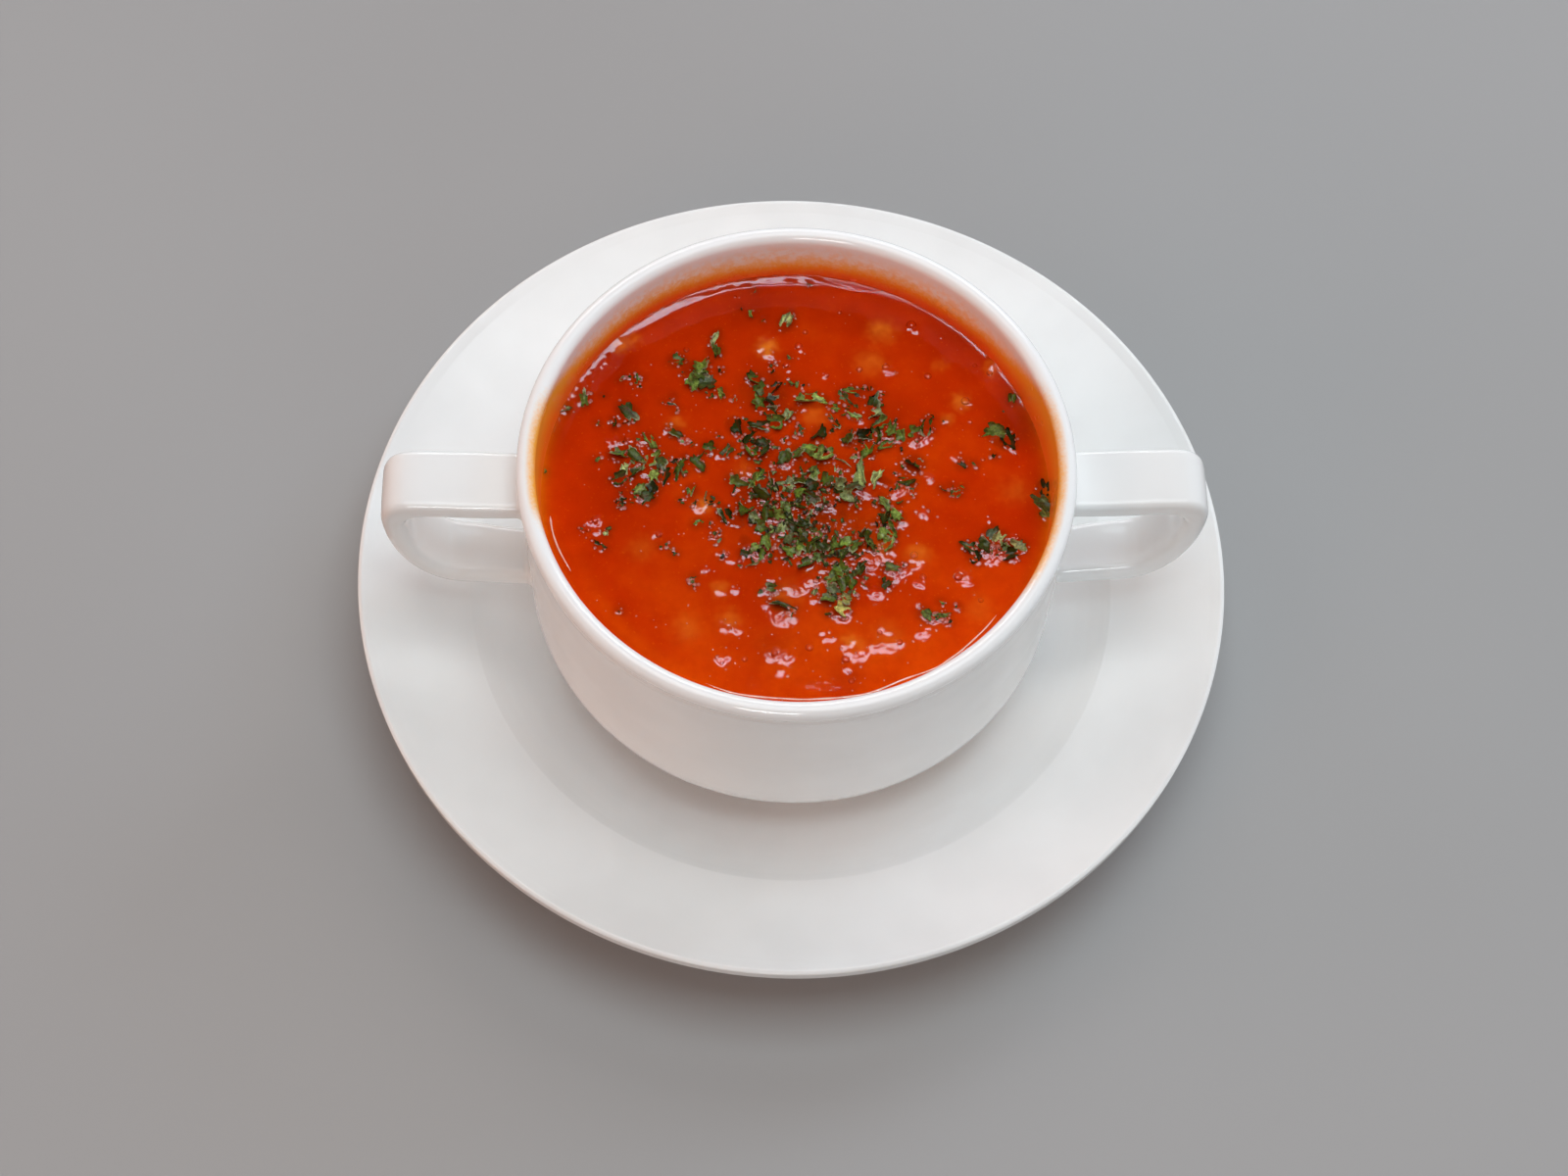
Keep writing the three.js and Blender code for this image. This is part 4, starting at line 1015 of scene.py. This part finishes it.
def parsley_material():
    m = Nodes("dried_parsley")
    co = m.coord()
    tint = m.nt.nodes.new("ShaderNodeAttribute")
    tint.attribute_name = "tint"
    cell = m.noise(co, 2600, 3.0, 0.6)
    base = m.mix(m.ramp(cell, 0.38, 0.66, 0.0, 0.50), tint.outputs["Color"], rgb(36, 46, 20))
    m.put(m.bsdf.inputs["Base Color"], base)
    m.put(m.bsdf.inputs["Roughness"], m.ramp(m.noise(co, 900, 2.0), 0.35, 0.65, 0.10, 0.32))
    m.bsdf.inputs["Specular IOR Level"].default_value = 0.04
    m.bump(cell, 0.00006)
    return m.mat


parsley = make_mesh("parsley_flakes", np.vstack(fv), ff, parsley_material(), colours=np.vstack(fc))
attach(parsley, "root")

# ------------------------------------------------------------------ floor
fm = Nodes("floor_plain")
fco = fm.coord()
fm.put(fm.bsdf.inputs["Base Color"], fm.mix(fm.ramp(fm.noise(fco, 3, 2.0), 0.3, 0.7), rgb(168, 168, 168), rgb(172, 172, 172)))
fm.bsdf.inputs["Roughness"].default_value = 0.9
floor = make_mesh("floor", [(-3000, -3000, 0), (3000, -3000, 0), (3000, 3000, 0), (-3000, 3000, 0)], [[0, 1, 2, 3]], fm.mat)


# ------------------------------------------------------------------ light
def softbox(name, place, size, power, colour=(1, 1, 1), seen=True, diffuse=True, aim=(0, 0, 0.03)):
    data = bpy.data.lights.new(name, "AREA")
    data.shape, data.size, data.size_y = "RECTANGLE", size[0], size[1]
    data.energy, data.color = power, colour
    ob = bpy.data.objects.new(name, data)
    ob.location = place
    d = np.array(aim) - np.array(place)
    z = -d / np.linalg.norm(d)
    x = np.cross([0, 1, 0] if abs(z[2]) > 0.9 else [0, 0, 1], z)
    x /= np.linalg.norm(x)
    y = np.cross(z, x)
    ob.matrix_world = Matrix([[*map(float, row)] for row in np.column_stack([x, y, z, place])] + [[0, 0, 0, 1]])
    ob.visible_glossy = seen
    ob.visible_diffuse = diffuse
    bpy.context.scene.collection.objects.link(ob)
    return ob


def lights_only(lamp, *pieces):
    """Keeps a lamp to these pieces."""
    lit = bpy.data.collections.new("lit_by_" + lamp.name)
    for piece in pieces:
        lit.objects.link(piece)
    lamp.light_linking.receiver_collection = lit


lights_only(softbox("key_gloss", (0.03, 0.265, 1.25), (1.05, 0.31), 36.0, (0.84, 0.98, 0.97), diffuse=False), soup, bubbles, parsley)
lights_only(softbox("key_near", (0.03, -0.21, 1.25), (1.05, 0.20), 23.0, (0.84, 0.98, 0.97), diffuse=False), soup, bubbles, parsley)
lights_only(softbox("glaze_gloss", (0.03, -0.07, 1.252), (1.3, 0.96), 14.0, (0.92, 0.97, 1.0), diffuse=False), saucer, cup)
lights_only(softbox("back_gloss", (0.0, 1.1, 0.78), (1.4, 0.22), 14.0, (0.96, 0.98, 1.0), diffuse=False), saucer, cup)
softbox("front_gloss", (-0.15, -1.0, 0.72), (0.36, 0.20), 6.0, (0.95, 0.97, 1.0), diffuse=False)
softbox("key_soft", (0.12, 0.05, 1.251), (0.85, 0.72), 7.5, (0.78, 0.94, 1.0), seen=False)
softbox("back", (0.25, 0.95, 0.95), (1.0, 0.5), 4.3, (1.0, 1.0, 1.0), seen=False)
softbox("back_left", (-0.8, 0.8, 0.6), (0.5, 0.4), 1.1, (0.60, 0.87, 1.0), seen=False)
softbox("back_right", (0.8, 0.8, 0.6), (0.5, 0.4), 3.0, (0.55, 0.78, 1.0), seen=False)
softbox("left", (-1.1, 0.05, 0.27), (0.6, 0.25), 2.0, (1.0, 0.60, 0.50), seen=False)
softbox("right", (1.1, 0.05, 0.27), (0.6, 0.25), 0.9, (1.0, 1.0, 1.0), seen=False)
softbox("front_left", (-0.80, -0.85, 0.45), (0.5, 0.4), 1.45, (1.0, 0.48, 0.20), seen=False)
softbox("front", (0.35, -1.15, 0.40), (0.8, 0.4), 2.6, (0.54, 0.86, 1.0), seen=False)

# the studio: for gloss it is bright near the horizon and dark overhead
world = bpy.data.worlds.new("studio")
world.use_nodes = True
wt = world.node_tree


def ranged(value, lo, hi, a, b):
    node = wt.nodes.new("ShaderNodeMapRange")
    node.interpolation_type = "SMOOTHSTEP"
    for socket, v in zip(("Value", "From Min", "From Max", "To Min", "To Max"), (value, lo, hi, a, b)):
        if isinstance(v, bpy.types.NodeSocket):
            wt.links.new(v, node.inputs[socket])
        else:
            node.inputs[socket].default_value = v
    return node.outputs["Result"]


split = wt.nodes.new("ShaderNodeSeparateXYZ")
wt.links.new(wt.nodes.new("ShaderNodeTexCoord").outputs["Generated"], split.inputs[0])
path = wt.nodes.new("ShaderNodeLightPath")
either = wt.nodes.new("ShaderNodeMath")
either.operation = "MAXIMUM"
wt.links.new(path.outputs["Is Glossy Ray"], either.inputs[0])
wt.links.new(path.outputs["Is Camera Ray"], either.inputs[1])
is_gloss = either.outputs[0]
gloss = ranged(split.outputs["Z"], 0.50, 0.76, 0.75, 0.02)
wt.links.new(ranged(is_gloss, 0.0, 1.0, 0.235, gloss), wt.nodes["Background"].inputs["Strength"])
tone = wt.nodes.new("ShaderNodeCombineXYZ")
for socket, warm, cool in (("X", 1.0, 0.97), ("Y", 0.58, 0.985), ("Z", 0.43, 1.0)):
    wt.links.new(ranged(is_gloss, 0.0, 1.0, warm, cool), tone.inputs[socket])
wt.links.new(tone.outputs[0], wt.nodes["Background"].inputs["Color"])
bpy.context.scene.world = world
bpy.context.scene.view_settings.view_transform = "Standard"
bpy.context.scene.view_settings.look = "None"
